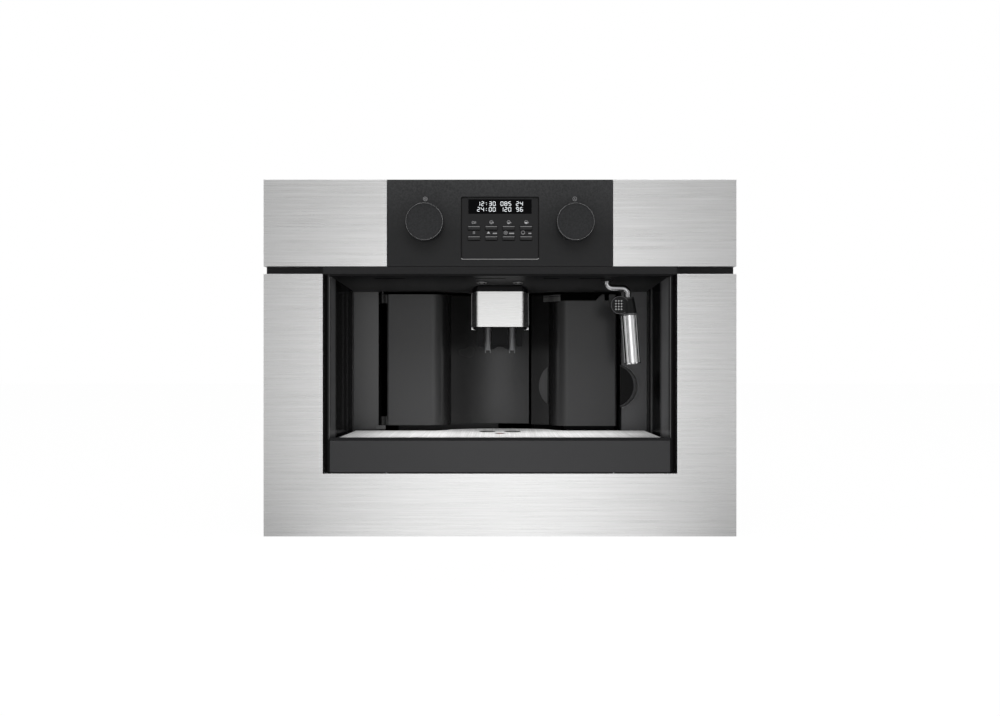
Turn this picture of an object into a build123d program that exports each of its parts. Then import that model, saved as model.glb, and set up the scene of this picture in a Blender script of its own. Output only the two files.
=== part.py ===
"""Built-in bean-to-cup coffee machine, hung on pull-out slides in a cabinet.

Frame: X to the right seen from the room, Y back into the cabinet, Z up.
Origin: bottom centre of the front frame's rear face, which meets the cabinet.
"""

import os
from math import asin, atan2, cos, degrees, radians, sin, sqrt

from build123d import *

os.makedirs("parts", exist_ok=True)

# Clearances
PANEL_GAP = 0.4  # between fixed panels
SEAT_GAP = 0.3  # between a moving piece and what it rests on
PIN_PLAY = 0.05  # round a pin or spindle in its bore
KEY_PLAY = 0.25  # round a key in its window

# Front, seen from the room
FRONT_WIDTH = 595.0
FRONT_HEIGHT = 449.0
FACE_DEPTH = 20.0  # from the front face to the cabinet
SKIN = 1.2  # folded steel sheet
FRAME_PLATE = 6.0
FRAME_RECESS = 1.0  # where the body sits in the frame
CUTOUT_BOTTOM = 79.0
PANEL_WIDTH = 283.6
PANEL_HEIGHT = 109.3
GRIP_SLOT = 9.4  # between the upper and the lower steel
UPPER_BOTTOM = FRONT_HEIGHT - PANEL_HEIGHT
LOWER_TOP = UPPER_BOTTOM - GRIP_SLOT
EDGE_ROUND = 0.5

# Body behind the front
BODY_WIDTH = 530.0
BODY_BOTTOM = 12.0
BODY_TOP = FRONT_HEIGHT - BODY_BOTTOM
BODY_BACK = 394.0
SHEET = 1.5
VENT_LENGTH = 46.0
VENT_WIDTH = 3.5
VENT_PITCH = 9.0

# Slides
RAIL_SPACE = 12.7  # between the body and the cabinet's wall
RAIL_HEIGHT = 45.0
RAIL_LENGTH = 380.0
RAIL_START = 5.0
RAIL_STEEL = 1.5
RAIL_Z = 60.0
RAIL_FLANGE_HEIGHT = 76.0
RAIL_SCREW_SPACING = 288.0
RAIL_SCREW_RISE = 60.0
RAIL_SCREW_HOLE = 5.2

# Bay, open to the front; depths are from the front face
BAY_HALF_FRONT = 214.7
BAY_TAPER = 10.3
BAY_HALF_REAR = BAY_HALF_FRONT - BAY_TAPER
CUTOUT_MARGIN = 8.3
CUTOUT_WIDTH = 2 * (BAY_HALF_FRONT + CUTOUT_MARGIN)
BAY_WALL = 2.5
BAY_WALL_FRONT = 2.0
REAR_PANEL_DEPTH = 114.0
REAR_PANEL_WIDTH = 34.2
REAR_PANEL_INNER = BAY_HALF_REAR - REAR_PANEL_WIDTH
CEILING_DROP = 2.3
CEILING_FALL = 11.0
CEILING_FRONT = LOWER_TOP - CEILING_DROP
CEILING_REAR = CEILING_FRONT - CEILING_FALL
CEILING_BACK_DEPTH = 148.0
CEILING_PLATE = 3.5
BEZEL_THICK = 3.0
LAMP_X = 23.8
LAMP_DEPTH = 42.7
LAMP_RADIUS = 5.2
LAMP_RING = 1.8
RING_RISE = 0.8
DECK_TOP = 79.0
DECK_PLATE = 3.0

# Hollow that the door and the tank cover share, in plan
FACE_PLANE = 107.0
COVE_EDGE_X = 69.0
COVE_EDGE_DEPTH = 125.0
COVE_DEPTH = 141.0
BULGE_X = 95.0

# Service door
DOOR_INSET = 12.5
DOOR_LEFT = DOOR_INSET - REAR_PANEL_INNER
DOOR_BOTTOM = 131.0
DOOR_TOP = CEILING_REAR - 4.0
DOOR_BACK_DEPTH = 150.0
DOOR_WALL = 3.0
DOOR_SEAM_X = 42.5
DOOR_GAP = 3.5
HINGE_OUTSET = 6.3
HINGE_X = DOOR_LEFT - HINGE_OUTSET
DOOR_RADIUS = DOOR_SEAM_X - HINGE_X
HINGE_DEPTH = 112.0
KNUCKLE_RADIUS = 4.6
KNUCKLE_HEIGHT = 12.0
HINGE_PIN = 2.0
HINGE_PIN_LENGTH = 15.0
PIN_LUG_DROP = 5.5
PANEL_RETURN = 30.0

# Spout, which slides on the door
SPOUT_FRONT_DEPTH = 62.0
SPOUT_FRONT_HALF = 31.4
SPOUT_SIDE_HALF = 38.8
SPOUT_SIDE_DEPTH = 86.0
SPOUT_COVER_DROP = 3.7
SPOUT_COVER_HEIGHT = 47.1
SPOUT_COVER_TOP = CEILING_REAR - SPOUT_COVER_DROP
SPOUT_COVER_BOTTOM = SPOUT_COVER_TOP - SPOUT_COVER_HEIGHT
SPOUT_SHEET = 1.0
SPOUT_HOOK = 3.2
SPOUT_ROUND = 3.0
SPOUT_CEILING_GAP = 1.6
SPOUT_LEG = 26.2
SPOUT_LEG_BOTTOM = SPOUT_COVER_BOTTOM - SPOUT_LEG
NOZZLE_X = 16.5
NOZZLE_DEPTH = 87.0
NOZZLE_RADIUS = 4.4
NOZZLE_BORE = 2.4
NOZZLE_LENGTH = 31.2
NOZZLE_BOTTOM = SPOUT_COVER_BOTTOM - NOZZLE_LENGTH
NUB_DROP = 3.7
NUB_RADIUS = 0.9
NUB_TIP = 0.6
SPOUT_BACK_DEPTH = 132.0
CARRIAGE_HALF = 16.0
CARRIAGE_BACK_DEPTH = 139.4
LEG_OUTER = 30.0
LEG_INNER = 22.5
LEG_FRONT_DEPTH = 76.0
LEG_BACK_DEPTH = 99.0
BLOCK_HALF = 10.0
BLOCK_RISE = 3.0
BLOCK_BOTTOM = SPOUT_LEG_BOTTOM + BLOCK_RISE
BRIDGE_THICK = 8.0
BRIDGE_HEIGHT = 7.5
BRIDGE_BOTTOM = SPOUT_LEG_BOTTOM - 3.5
BRIDGE_TOP = BRIDGE_BOTTOM + BRIDGE_HEIGHT
ARCH_RADIUS = 11.0
ARCH_CENTRE = SPOUT_LEG_BOTTOM - ARCH_RADIUS
TRACK_HALF = 11.0
TRACK_DEPTH = 7.0
TRACK_LIP = 3.0
TRACK_LAP = 2.0
TRACK_BOTTOM = SPOUT_LEG_BOTTOM - TRACK_LAP
TRACK_TOP = DOOR_TOP - TRACK_LAP
GUIDE_CLEARANCE = 0.3

# Water tank
TANK_INSET = 7.7
TANK_RIGHT = REAR_PANEL_INNER - TANK_INSET
TANK_BOTTOM = 130.0
TANK_TOP = DOOR_TOP
TANK_NOTCH_DEPTH = 8.7
TANK_NOTCH_TOP = TANK_TOP - TANK_NOTCH_DEPTH
TANK_NOTCH_LEFT = 84.4
TANK_NOTCH_INSET = 29.5
TANK_NOTCH_RIGHT = TANK_RIGHT - TANK_NOTCH_INSET
TANK_SLOT_INSET = 10.6
TANK_SLOT_WIDTH = 6.3
TANK_SLOT_RIGHT = TANK_RIGHT - TANK_SLOT_INSET
TANK_SLOT_LEFT = TANK_SLOT_RIGHT - TANK_SLOT_WIDTH
TANK_COVER_BACK = 117.5
TANK_LEFT = 50.0
TANK_STEP_X = 78.0
TANK_STEP_DEPTH = 151.0
TANK_BACK_DEPTH = 225.0
TANK_WALL = 2.5
TANK_LID = 3.5
TANK_LID_DROP = 5.3
TANK_BOX_TOP = TANK_NOTCH_TOP - TANK_LID_DROP
SCOOP_Z = 185.0
SCOOP_WIDTH = 12.6
SCOOP_RISE = 26.0
SCOOP_FLOOR_DEPTH = 139.0
PANEL_SCOOP_X = TANK_RIGHT - EDGE_ROUND
PANEL_SCOOP_RADIUS = 30.8
PANEL_SCOOP_DEPTH = 14.0
CRADLE_LEFT = 90.0
CRADLE_WALL = 2.5

# Drip tray and cup grille
TRAY_PLAY = 0.5
TRAY_HALF = BAY_HALF_FRONT - TRAY_PLAY
TRAY_FRONT_BOTTOM = 80.5
TRAY_FRONT_TOP = 120.7
TRAY_FRONT_THICK = 5.5
TUB_INSET = 13.2
TUB_HALF = TRAY_HALF - TUB_INSET
TUB_WALL = 2.5
TUB_RIM_TOP = 122.4
RIM_INSET = 2.0
TUB_RIM = 2.0
LIP_TOP = 124.0
GRILLE_FRONT_INSET = 10.7
GRILLE_REAR_INSET = 5.0
GRILLE_FRONT_HALF = TRAY_HALF - GRILLE_FRONT_INSET
GRILLE_REAR_HALF = BAY_HALF_REAR - GRILLE_REAR_INSET
GRILLE_SHEET = 1.5
GRILLE_SKIRT = 7.0
GRILLE_COVE_GAP = 6.0
DRIP_HOLE = 10.5
DRIP_HOLE_X = 17.2
FLOAT_HOLE = 5.7
FLOAT_DEPTH = 57.0
FLOAT_RADIUS = 9.0
FLOAT_TIP = 4.6
FLOAT_HEIGHT = 9.0
FLOAT_TIP_DROP = 2.5
WELL_WALL = 2.0
WELL_HEIGHT = 14.0
TUB_SHIFT = 8.0
TUB_FLOOR = 2.5
SKIRT_INSET = 6.0
GUIDE_TOP = 122.0
GUIDE_WALL = 2.6
SHELF_THICK = 2.5

# Steam wand
WAND_WALL_SPACE = 76.2
WAND_X = BAY_HALF_FRONT - WAND_WALL_SPACE
WAND_DEPTH = 30.0
WAND_TUBE = 4.0
WAND_BEND = 7.0
WAND_RISE = 8.0
WAND_ARM_DROP = 12.2
WAND_ARM = 26.9
GRIP_DROP = 13.3
GRIP_LENGTH = 23.0
WAND_TOP = CEILING_FRONT + WAND_RISE
WAND_ARM_Z = CEILING_FRONT - WAND_ARM_DROP
WAND_DROP_X = WAND_X + WAND_ARM
GRIP_TOP = WAND_ARM_Z - GRIP_DROP
GRIP_BOTTOM = GRIP_TOP - GRIP_LENGTH
GRIP_TOP_RADIUS = 8.0
GRIP_RADIUS = 10.5
WAND_TILT = 4.2
SLEEVE_LENGTH = 62.6
SLEEVE_RADIUS = 10.25
SLEEVE_BORE = 8.6
PAD_OFFSET = 11.0
PAD_DROP = 10.0
PAD_X = WAND_DROP_X - PAD_OFFSET
PAD_Z = GRIP_TOP - PAD_DROP
PAD_RADIUS = 11.6
PAD_THICK = 5.0
PAD_FRONT_DEPTH = 22.0
PAD_BUMP = 0.9
PAD_BUMP_PITCH = 3.6
PAD_NECK = 9.0
COLLAR_RADIUS = 7.0
COLLAR_THICK = 3.0

# Controls
KNOB_X = 94.0
KNOB_RISE = 54.3
KNOB_Z = UPPER_BOTTOM + KNOB_RISE
KNOB_RADIUS = 23.3
KNOB_HEIGHT = 14.0
KNOB_GAP = 0.7
KNOB_RIM = 1.6
KNOB_DISH = 0.5
SPINDLE_RADIUS = 3.0
BEZEL_WIDTH = 97.3
BEZEL_RISE = 9.3
BEZEL_HEIGHT = 78.0
BEZEL_BOTTOM = UPPER_BOTTOM + BEZEL_RISE
BEZEL_TOP = BEZEL_BOTTOM + BEZEL_HEIGHT
BEZEL_RECESS = 1.5
BEZEL_PLATE = 2.0
CORNER = 2.0
WINDOW_WIDTH = 79.8
WINDOW_DROP = 2.5
WINDOW_HEIGHT = 18.4
WINDOW_TOP = BEZEL_TOP - WINDOW_DROP
WINDOW_BOTTOM = WINDOW_TOP - WINDOW_HEIGHT
KEY_COLUMNS = 4
KEY_PITCH = 21.9
KEY_DROP = 38.6
KEY_ROW_PITCH = 12.9
KEY_ROWS = (BEZEL_TOP - KEY_DROP, BEZEL_TOP - KEY_DROP - KEY_ROW_PITCH)
KEY_WIDTH = 14.6
KEY_HEIGHT = 4.5
KEY_PROUD = 1.2
KEY_LENGTH = 4.2
BOARD_DEPTH = 8.0  # from the front face to the board
BOARD_THICK = 1.6

# Works inside
HOPPER_X = -120.0
HOPPER_Y = 270.0
HOPPER_WIDTH = 160.0
HOPPER_LENGTH = 170.0
HOPPER_DEPTH = 92.0
HOPPER_BOTTOM = BODY_TOP - HOPPER_DEPTH
HOPPER_WALL = 2.0
FUNNEL_X = -4.0
FUNNEL_WIDTH = 50.0
LID_THICK = 2.6
LID_LAP = 5.0
LID_KNUCKLE = 3.0
LID_PIN = 1.4
DIAL_X = -12.0
DIAL_Y = 230.0
DIAL_RADIUS = 14.0
DIAL_HEIGHT = 6.0
DIAL_SPINDLE = 3.0
GRINDER_RADIUS = 42.0
GRINDER_DROP = 95.0
GRINDER_BOTTOM = HOPPER_BOTTOM - GRINDER_DROP
BREW_X = -50.0
BREW_Y = 235.0
BREW_RADIUS = 30.0
BREW_TOP = CEILING_REAR - 17.0
BOX_X = -75.0
BOX_WIDTH = 145.0
BOX_FRONT_DEPTH = 156.0
BOX_LENGTH = 32.0
BOX_HEIGHT = 110.0
BOILER_X = 90.0
BOILER_Y = 290.0
BOILER_RADIUS = 34.0
BOILER_HEIGHT = 130.0
PUMP_X = 130.0
PUMP_Y = BOILER_Y
PUMP_RADIUS = 19.0
PUMP_LENGTH = 95.0
POWER_WIDTH = 150.0
POWER_LENGTH = 110.0
INLET_X = 190.0
INLET_Z = 60.0
INLET_WIDTH = 27.0
INLET_HEIGHT = 20.0
FLANGE_RISE = 2.5
CAPACITOR_RADIUS = 6.0
FIN_COUNT = 7
FIN_LENGTH = 60.0
FIN_HEIGHT = 24.0
FIN_THICK = 1.5
COIL_LENGTH = 34.0
CHUTE_RADIUS = 9.0
SCREW_RADIUS = 3.4
SCREW_HEAD = 1.8
SCREW_SHANK = 1.5
SCREW_INSET = 12.0
SCREW_COLUMNS = 3
SCREW_ROWS = 2

# Worked out from the above
half_body = BODY_WIDTH / 2
half_niche = half_body + RAIL_SPACE
seat_y = -FRAME_RECESS
bay_slope = (CEILING_FRONT - CEILING_REAR) / (REAR_PANEL_DEPTH - BAY_WALL_FRONT)
wall_slope = (BAY_HALF_FRONT - BAY_HALF_REAR) / (REAR_PANEL_DEPTH - BAY_WALL_FRONT)
cove_radius = (COVE_EDGE_X**2 + (COVE_DEPTH - COVE_EDGE_DEPTH) ** 2) / (
    2 * (COVE_DEPTH - COVE_EDGE_DEPTH)
)


def back(depth):
    """Y of a depth that is measured from the front face."""
    return depth - FACE_DEPTH


def upright(y):
    """Plane that faces the room at the given Y; a negative extrusion goes back."""
    return Plane.XZ.offset(-y)


def level(z):
    """Horizontal plane at a height."""
    return Plane.XY.offset(z)


def save(piece, name):
    """Label a finished piece and write it."""
    piece.part.label = name
    export_step(piece.part, f"parts/{name}.step")


def bar(low, high, mode=Mode.ADD):
    """Plain block between two corners, added to the piece being built."""
    size = [b - a for a, b in zip(low, high)]
    middle = [(a + b) / 2 for a, b in zip(low, high)]
    with Locations(tuple(middle)):
        Box(*size, mode=mode)


def rod(x, y, low, high, radius, mode=Mode.ADD):
    """Upright cylinder between two heights."""
    with Locations((x, y, (low + high) / 2)):
        Cylinder(radius, high - low, mode=mode)


def turned(foot, profile, direction=(0, 0, 1)):
    """Shape turned about an axis from its foot; the profile is (radius, height) pairs."""
    half_plane = Plane(
        origin=foot, x_dir=(1, 0, 0), z_dir=Vector(1, 0, 0).cross(Vector(*direction))
    )
    with BuildSketch(half_plane, mode=Mode.PRIVATE) as half:
        with BuildLine():
            Polyline((0, profile[0][1]), *profile, (0, profile[-1][1]), close=True)
        make_face()
    revolve(half.sketch, axis=Axis(foot, direction))


def ceiling_z(depth):
    """Height of the bay ceiling's underside at a depth from the front face."""
    return max(CEILING_REAR, CEILING_FRONT - bay_slope * (depth - BAY_WALL_FRONT))


def bay_half(depth):
    """Half of the bay's width at a depth from the front face."""
    return BAY_HALF_FRONT - wall_slope * (depth - BAY_WALL_FRONT)


# ---------------------------------------------------------------- slides
def channel(web, tip, height, side):
    """Outline of one slide member: a C with its web at one X and lips at the other."""
    wall = RAIL_STEEL if tip > web else -RAIL_STEEL
    low, high = RAIL_Z - height / 2, RAIL_Z + height / 2
    outline = [
        (web, low),
        (tip, low),
        (tip, low + RAIL_STEEL),
        (web + wall, low + RAIL_STEEL),
        (web + wall, high - RAIL_STEEL),
        (tip, high - RAIL_STEEL),
        (tip, high),
        (web, high),
    ]
    return [(side * x, z) for x, z in outline]


def slide_pair(web, tip, height):
    """The left and right members of one stage, added to the piece being built."""
    for side in (-1, 1):
        with BuildSketch(upright(RAIL_START)) as section:
            with BuildLine():
                Polyline(*channel(web, tip, height, side), close=True)
            make_face()
        extrude(section.sketch, amount=-RAIL_LENGTH)


middle_web = half_niche - RAIL_STEEL - GUIDE_CLEARANCE
middle_height = RAIL_HEIGHT - 2 * (RAIL_STEEL + GUIDE_CLEARANCE)
inner_height = middle_height - 2 * (RAIL_STEEL + GUIDE_CLEARANCE)
rail_middle_y = RAIL_START + RAIL_LENGTH / 2

with BuildPart() as cabinet_rails:
    slide_pair(half_niche, half_body + 2 * GUIDE_CLEARANCE, RAIL_HEIGHT)
    for side in (-1, 1):
        with Locations((side * (half_niche - RAIL_STEEL / 2), rail_middle_y, RAIL_Z)):
            Box(RAIL_STEEL, RAIL_LENGTH, RAIL_FLANGE_HEIGHT)
        with Locations(
            Plane.YZ.offset(side * (half_niche - RAIL_STEEL / 2))
        ), Locations((rail_middle_y, RAIL_Z)):
            with GridLocations(RAIL_SCREW_SPACING, RAIL_SCREW_RISE, 2, 2):
                Cylinder(RAIL_SCREW_HOLE / 2, 2 * RAIL_STEEL, mode=Mode.SUBTRACT)
save(cabinet_rails, "cabinet_rails")

with BuildPart() as middle_rails:
    slide_pair(middle_web, half_body + 3 * GUIDE_CLEARANCE, middle_height)
save(middle_rails, "middle_rails")

with BuildPart() as inner_rails:
    slide_pair(half_body, middle_web - RAIL_STEEL - GUIDE_CLEARANCE, inner_height)
save(inner_rails, "inner_rails")


# ---------------------------------------------------------------- case
def vents(count_across, count_up):
    """Rounded vent slots cut through the sheet whose plane is current."""
    with GridLocations(VENT_LENGTH + VENT_PITCH, VENT_PITCH, count_across, count_up):
        SlotOverall(VENT_LENGTH, VENT_WIDTH)


with BuildPart() as base_pan:
    bar(
        (SHEET - half_body, seat_y, BODY_BOTTOM),
        (half_body - SHEET, BODY_BACK - SHEET, BODY_BOTTOM + SHEET),
    )
    for side in (-1, 1):
        edge = side * (half_body - SHEET)
        bar(
            (min(edge, edge - side * SHEET), seat_y, BODY_BOTTOM),
            (max(edge, edge - side * SHEET), BODY_BACK - SHEET, BODY_BOTTOM + 10 * SHEET),
        )
    with BuildSketch(level(BODY_BOTTOM)):
        with Locations((BREW_X, BODY_BACK / 2)):
            vents(2, 8)
    extrude(amount=SHEET, mode=Mode.SUBTRACT)
save(base_pan, "base_pan")

for side, side_name in ((-1, "side_panel_left"), (1, "side_panel_right")):
    with BuildPart() as side_panel:
        outer = side * half_body
        inner = outer - side * SHEET
        bar(
            (min(inner, outer), seat_y, BODY_BOTTOM),
            (max(inner, outer), BODY_BACK, BODY_TOP - SHEET),
        )
        with BuildSketch(Plane.YZ.offset(min(inner, outer))):
            with Locations((BODY_BACK - 3 * VENT_LENGTH, BODY_TOP - 2 * VENT_LENGTH)):
                vents(3, 8)
        extrude(amount=SHEET, mode=Mode.SUBTRACT)
    save(side_panel, side_name)

# rows and columns of the screws that hold the rear panel
screw_grid = (
    half_body - SCREW_INSET,
    BODY_TOP - BODY_BOTTOM - 3 * SCREW_INSET,
    SCREW_COLUMNS,
    SCREW_ROWS,
)

with BuildPart() as rear_panel:
    bar(
        (SHEET - half_body, BODY_BACK - SHEET, BODY_BOTTOM),
        (half_body - SHEET, BODY_BACK, BODY_TOP - SHEET),
    )
    with BuildSketch(upright(BODY_BACK)):
        with Locations((0, BODY_TOP - 2 * VENT_LENGTH)):
            vents(6, 8)
        with Locations((INLET_X, INLET_Z)):
            Rectangle(INLET_WIDTH, INLET_HEIGHT)
        with Locations((0, (BODY_BOTTOM + BODY_TOP) / 2)):
            with GridLocations(*screw_grid):
                Circle(SCREW_SHANK + PIN_PLAY)
    extrude(amount=SHEET, mode=Mode.SUBTRACT)
save(rear_panel, "rear_panel")

lid_back = HOPPER_Y + HOPPER_LENGTH / 2 - LID_KNUCKLE
lid_axis_z = BODY_TOP + SEAT_GAP + LID_KNUCKLE


def lid(x, width, length):
    """Flat lid with a finger lip and a barrel along its rear edge."""
    front = lid_back - length
    bar(
        (x - width / 2, front, BODY_TOP + SEAT_GAP),
        (x + width / 2, lid_back, BODY_TOP + SEAT_GAP + LID_THICK),
    )
    edges = part_now().edges().filter_by(Axis.Z).group_by(Axis.Y)[0]
    fillet(edges, radius=2 * LID_THICK)
    with Locations(Location((x, lid_back, lid_axis_z), (0, 90, 0))):
        Cylinder(LID_KNUCKLE, width)
        Cylinder(LID_PIN + PIN_PLAY, width, mode=Mode.SUBTRACT)


def part_now():
    """The piece as built so far."""
    return BuildPart._get_context().part


def lid_ears(x, width):
    """Two ears on the cover whose pins hold a lid's barrel."""
    for side in (-1, 1):
        ear = x + side * (width / 2 + SEAT_GAP)
        far = ear + side * LID_KNUCKLE
        bar(
            (min(ear, far), lid_back - LID_KNUCKLE, BODY_TOP),
            (max(ear, far), lid_back + LID_KNUCKLE, lid_axis_z + LID_PIN),
        )
        pin_middle = ear - side * LID_KNUCKLE / 2
        with Locations(Location((pin_middle, lid_back, lid_axis_z), (0, 90, 0))):
            Cylinder(LID_PIN, 2 * LID_KNUCKLE)


hopper_opening = (HOPPER_WIDTH - 4 * LID_LAP, HOPPER_LENGTH - 4 * LID_LAP)
funnel_opening = (FUNNEL_WIDTH - 2 * LID_LAP, FUNNEL_WIDTH - 2 * LID_LAP)
hopper_lid_size = (hopper_opening[0] + 2 * LID_LAP, hopper_opening[1] + 2 * LID_LAP)
funnel_lid_size = (FUNNEL_WIDTH, FUNNEL_WIDTH)
hopper_hole_y = lid_back - LID_LAP - hopper_opening[1] / 2
funnel_hole_y = lid_back - LID_LAP - funnel_opening[1] / 2

with BuildPart() as top_cover:
    bar((-half_body, seat_y, BODY_TOP - SHEET), (half_body, BODY_BACK, BODY_TOP))
    with BuildSketch(level(BODY_TOP - SHEET)):
        with Locations((HOPPER_X, hopper_hole_y)):
            RectangleRounded(*hopper_opening, 2 * CORNER)
        with Locations((FUNNEL_X, funnel_hole_y)):
            RectangleRounded(*funnel_opening, 2 * CORNER)
        with Locations((half_body / 2, BODY_BACK / 2)):
            vents(3, 10)
        with Locations((DIAL_X, DIAL_Y)):
            Circle(DIAL_SPINDLE + PIN_PLAY)
    extrude(amount=SHEET, mode=Mode.SUBTRACT)
    lid_ears(HOPPER_X, hopper_lid_size[0])
    lid_ears(FUNNEL_X, funnel_lid_size[0])
save(top_cover, "top_cover")

with BuildPart() as hopper_lid:
    lid(HOPPER_X, *hopper_lid_size)
save(hopper_lid, "hopper_lid")

with BuildPart() as funnel_lid:
    lid(FUNNEL_X, *funnel_lid_size)
save(funnel_lid, "funnel_lid")


# ---------------------------------------------------------------- front
half_front = FRONT_WIDTH / 2
half_cutout = CUTOUT_WIDTH / 2
half_panel = PANEL_WIDTH / 2
frame_front = -FRAME_PLATE
board_front = -FACE_DEPTH + BOARD_DEPTH - BOARD_THICK
standoff_x = KNOB_X + KNOB_RADIUS / 2
standoff_rise = (BEZEL_TOP - BEZEL_BOTTOM) / 3

with BuildPart() as front_frame:
    with BuildSketch(upright(frame_front)):
        with Locations((0, FRONT_HEIGHT / 2)):
            Rectangle(FRONT_WIDTH, FRONT_HEIGHT)
        with Locations((0, (CUTOUT_BOTTOM + LOWER_TOP) / 2 - BAY_WALL / 2)):
            Rectangle(
                2 * (BAY_HALF_FRONT + BAY_WALL + SEAT_GAP),
                LOWER_TOP - CUTOUT_BOTTOM + 2 * BAY_WALL,
                mode=Mode.SUBTRACT,
            )
    extrude(amount=-FRAME_PLATE)
    # the body's front edges sit in this shallow recess
    bar(
        (-half_body - PANEL_GAP, seat_y, BODY_BOTTOM - PANEL_GAP),
        (half_body + PANEL_GAP, 0, BODY_TOP + PANEL_GAP),
        mode=Mode.SUBTRACT,
    )
    # posts that carry the control board
    with BuildSketch(upright(frame_front)):
        with Locations((0, KNOB_Z)):
            with GridLocations(2 * standoff_x, 2 * standoff_rise, 2, 2):
                Circle(KNOB_HEIGHT / 4)
    extrude(amount=frame_front - board_front - BOARD_THICK)
save(front_frame, "front_frame")


def folded_sheet(outline):
    """Steel sheet with this outline, its edges folded back to the frame."""
    extrude(outline.sketch, amount=FRAME_PLATE - FACE_DEPTH)
    with BuildSketch(upright(-FACE_DEPTH + SKIN)) as inside:
        add(outline.sketch.moved(Location((0, SKIN, 0))))
        offset(amount=-SKIN, mode=Mode.REPLACE)
    extrude(inside.sketch, amount=SKIN + FRAME_PLATE - FACE_DEPTH, mode=Mode.SUBTRACT)
    fillet(part_now().faces().sort_by(Axis.Y)[0].edges(), radius=EDGE_ROUND)


with BuildPart() as lower_fascia:
    with BuildSketch(upright(-FACE_DEPTH), mode=Mode.PRIVATE) as fascia_outline:
        with Locations((0, LOWER_TOP / 2)):
            Rectangle(FRONT_WIDTH, LOWER_TOP)
        with Locations((0, (CUTOUT_BOTTOM + LOWER_TOP) / 2)):
            Rectangle(CUTOUT_WIDTH, LOWER_TOP - CUTOUT_BOTTOM, mode=Mode.SUBTRACT)
    folded_sheet(fascia_outline)
save(lower_fascia, "lower_fascia")

for side, side_name in ((-1, "upper_fascia_left"), (1, "upper_fascia_right")):
    with BuildPart() as upper_fascia:
        wing_width = half_front - half_panel - PANEL_GAP
        wing_middle = side * (half_front - wing_width / 2)
        with BuildSketch(upright(-FACE_DEPTH), mode=Mode.PRIVATE) as wing_outline:
            with Locations((wing_middle, (UPPER_BOTTOM + FRONT_HEIGHT) / 2)):
                Rectangle(wing_width, FRONT_HEIGHT - UPPER_BOTTOM)
        folded_sheet(wing_outline)
    save(upper_fascia, side_name)

bezel_middle = (BEZEL_BOTTOM + BEZEL_TOP) / 2
bezel_front = -FACE_DEPTH + BEZEL_RECESS
panel_thick = BEZEL_THICK

with BuildPart() as control_panel:
    with BuildSketch(upright(-FACE_DEPTH)):
        with Locations((0, (UPPER_BOTTOM + FRONT_HEIGHT) / 2)):
            Rectangle(PANEL_WIDTH, FRONT_HEIGHT - UPPER_BOTTOM)
    extrude(amount=FRAME_PLATE - FACE_DEPTH)
    with BuildSketch(upright(-FACE_DEPTH + panel_thick)):
        with Locations((0, (UPPER_BOTTOM + FRONT_HEIGHT) / 2)):
            Rectangle(
                PANEL_WIDTH - 2 * panel_thick, FRONT_HEIGHT - UPPER_BOTTOM - 2 * panel_thick
            )
    extrude(amount=panel_thick + FRAME_PLATE - FACE_DEPTH, mode=Mode.SUBTRACT)
    fillet(control_panel.faces().sort_by(Axis.Y)[0].edges(), radius=EDGE_ROUND)
    with BuildSketch(upright(-FACE_DEPTH)):
        with Locations((0, bezel_middle)):
            RectangleRounded(BEZEL_WIDTH, BEZEL_TOP - BEZEL_BOTTOM, CORNER)
        with Locations((-KNOB_X, KNOB_Z), (KNOB_X, KNOB_Z)):
            Circle(SPINDLE_RADIUS + PIN_PLAY)
    extrude(amount=-panel_thick, mode=Mode.SUBTRACT)
save(control_panel, "control_panel")

with BuildPart() as display_bezel:
    # recessed plate with a flange behind the panel
    with BuildSketch(upright(bezel_front)):
        with Locations((0, bezel_middle)):
            RectangleRounded(
                BEZEL_WIDTH - 2 * SEAT_GAP, BEZEL_TOP - BEZEL_BOTTOM - 2 * SEAT_GAP, CORNER
            )
    extrude(amount=-BEZEL_PLATE)
    with BuildSketch(upright(-FACE_DEPTH + panel_thick)):
        with Locations((0, bezel_middle)):
            RectangleRounded(
                BEZEL_WIDTH + 2 * CORNER, BEZEL_TOP - BEZEL_BOTTOM + 2 * CORNER, 2 * CORNER
            )
    extrude(amount=-(bezel_front + BEZEL_PLATE + FACE_DEPTH - panel_thick) - SKIN)
    with BuildSketch(upright(bezel_front)):
        with Locations((0, (WINDOW_BOTTOM + WINDOW_TOP) / 2)):
            Rectangle(WINDOW_WIDTH, WINDOW_TOP - WINDOW_BOTTOM)
        for key_z in KEY_ROWS:
            with Locations((0, key_z)):
                with GridLocations(KEY_PITCH, 1, KEY_COLUMNS, 1):
                    Rectangle(KEY_WIDTH + 2 * KEY_PLAY, KEY_HEIGHT + 2 * KEY_PLAY)
    extrude(amount=-BOARD_DEPTH, mode=Mode.SUBTRACT)
save(display_bezel, "display_bezel")

with BuildPart() as display_window:
    with BuildSketch(upright(bezel_front + BEZEL_RECESS / 4)):
        with Locations((0, (WINDOW_BOTTOM + WINDOW_TOP) / 2)):
            Rectangle(WINDOW_WIDTH, WINDOW_TOP - WINDOW_BOTTOM)
    extrude(amount=-(board_front - bezel_front - BEZEL_RECESS / 4))
save(display_window, "display_window")

with BuildPart() as control_board:
    with BuildSketch(upright(board_front)):
        with Locations((0, KNOB_Z)):
            Rectangle(2 * standoff_x + KNOB_HEIGHT, 3 * standoff_rise)
    extrude(amount=-BOARD_THICK)
save(control_board, "control_board")

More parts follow.
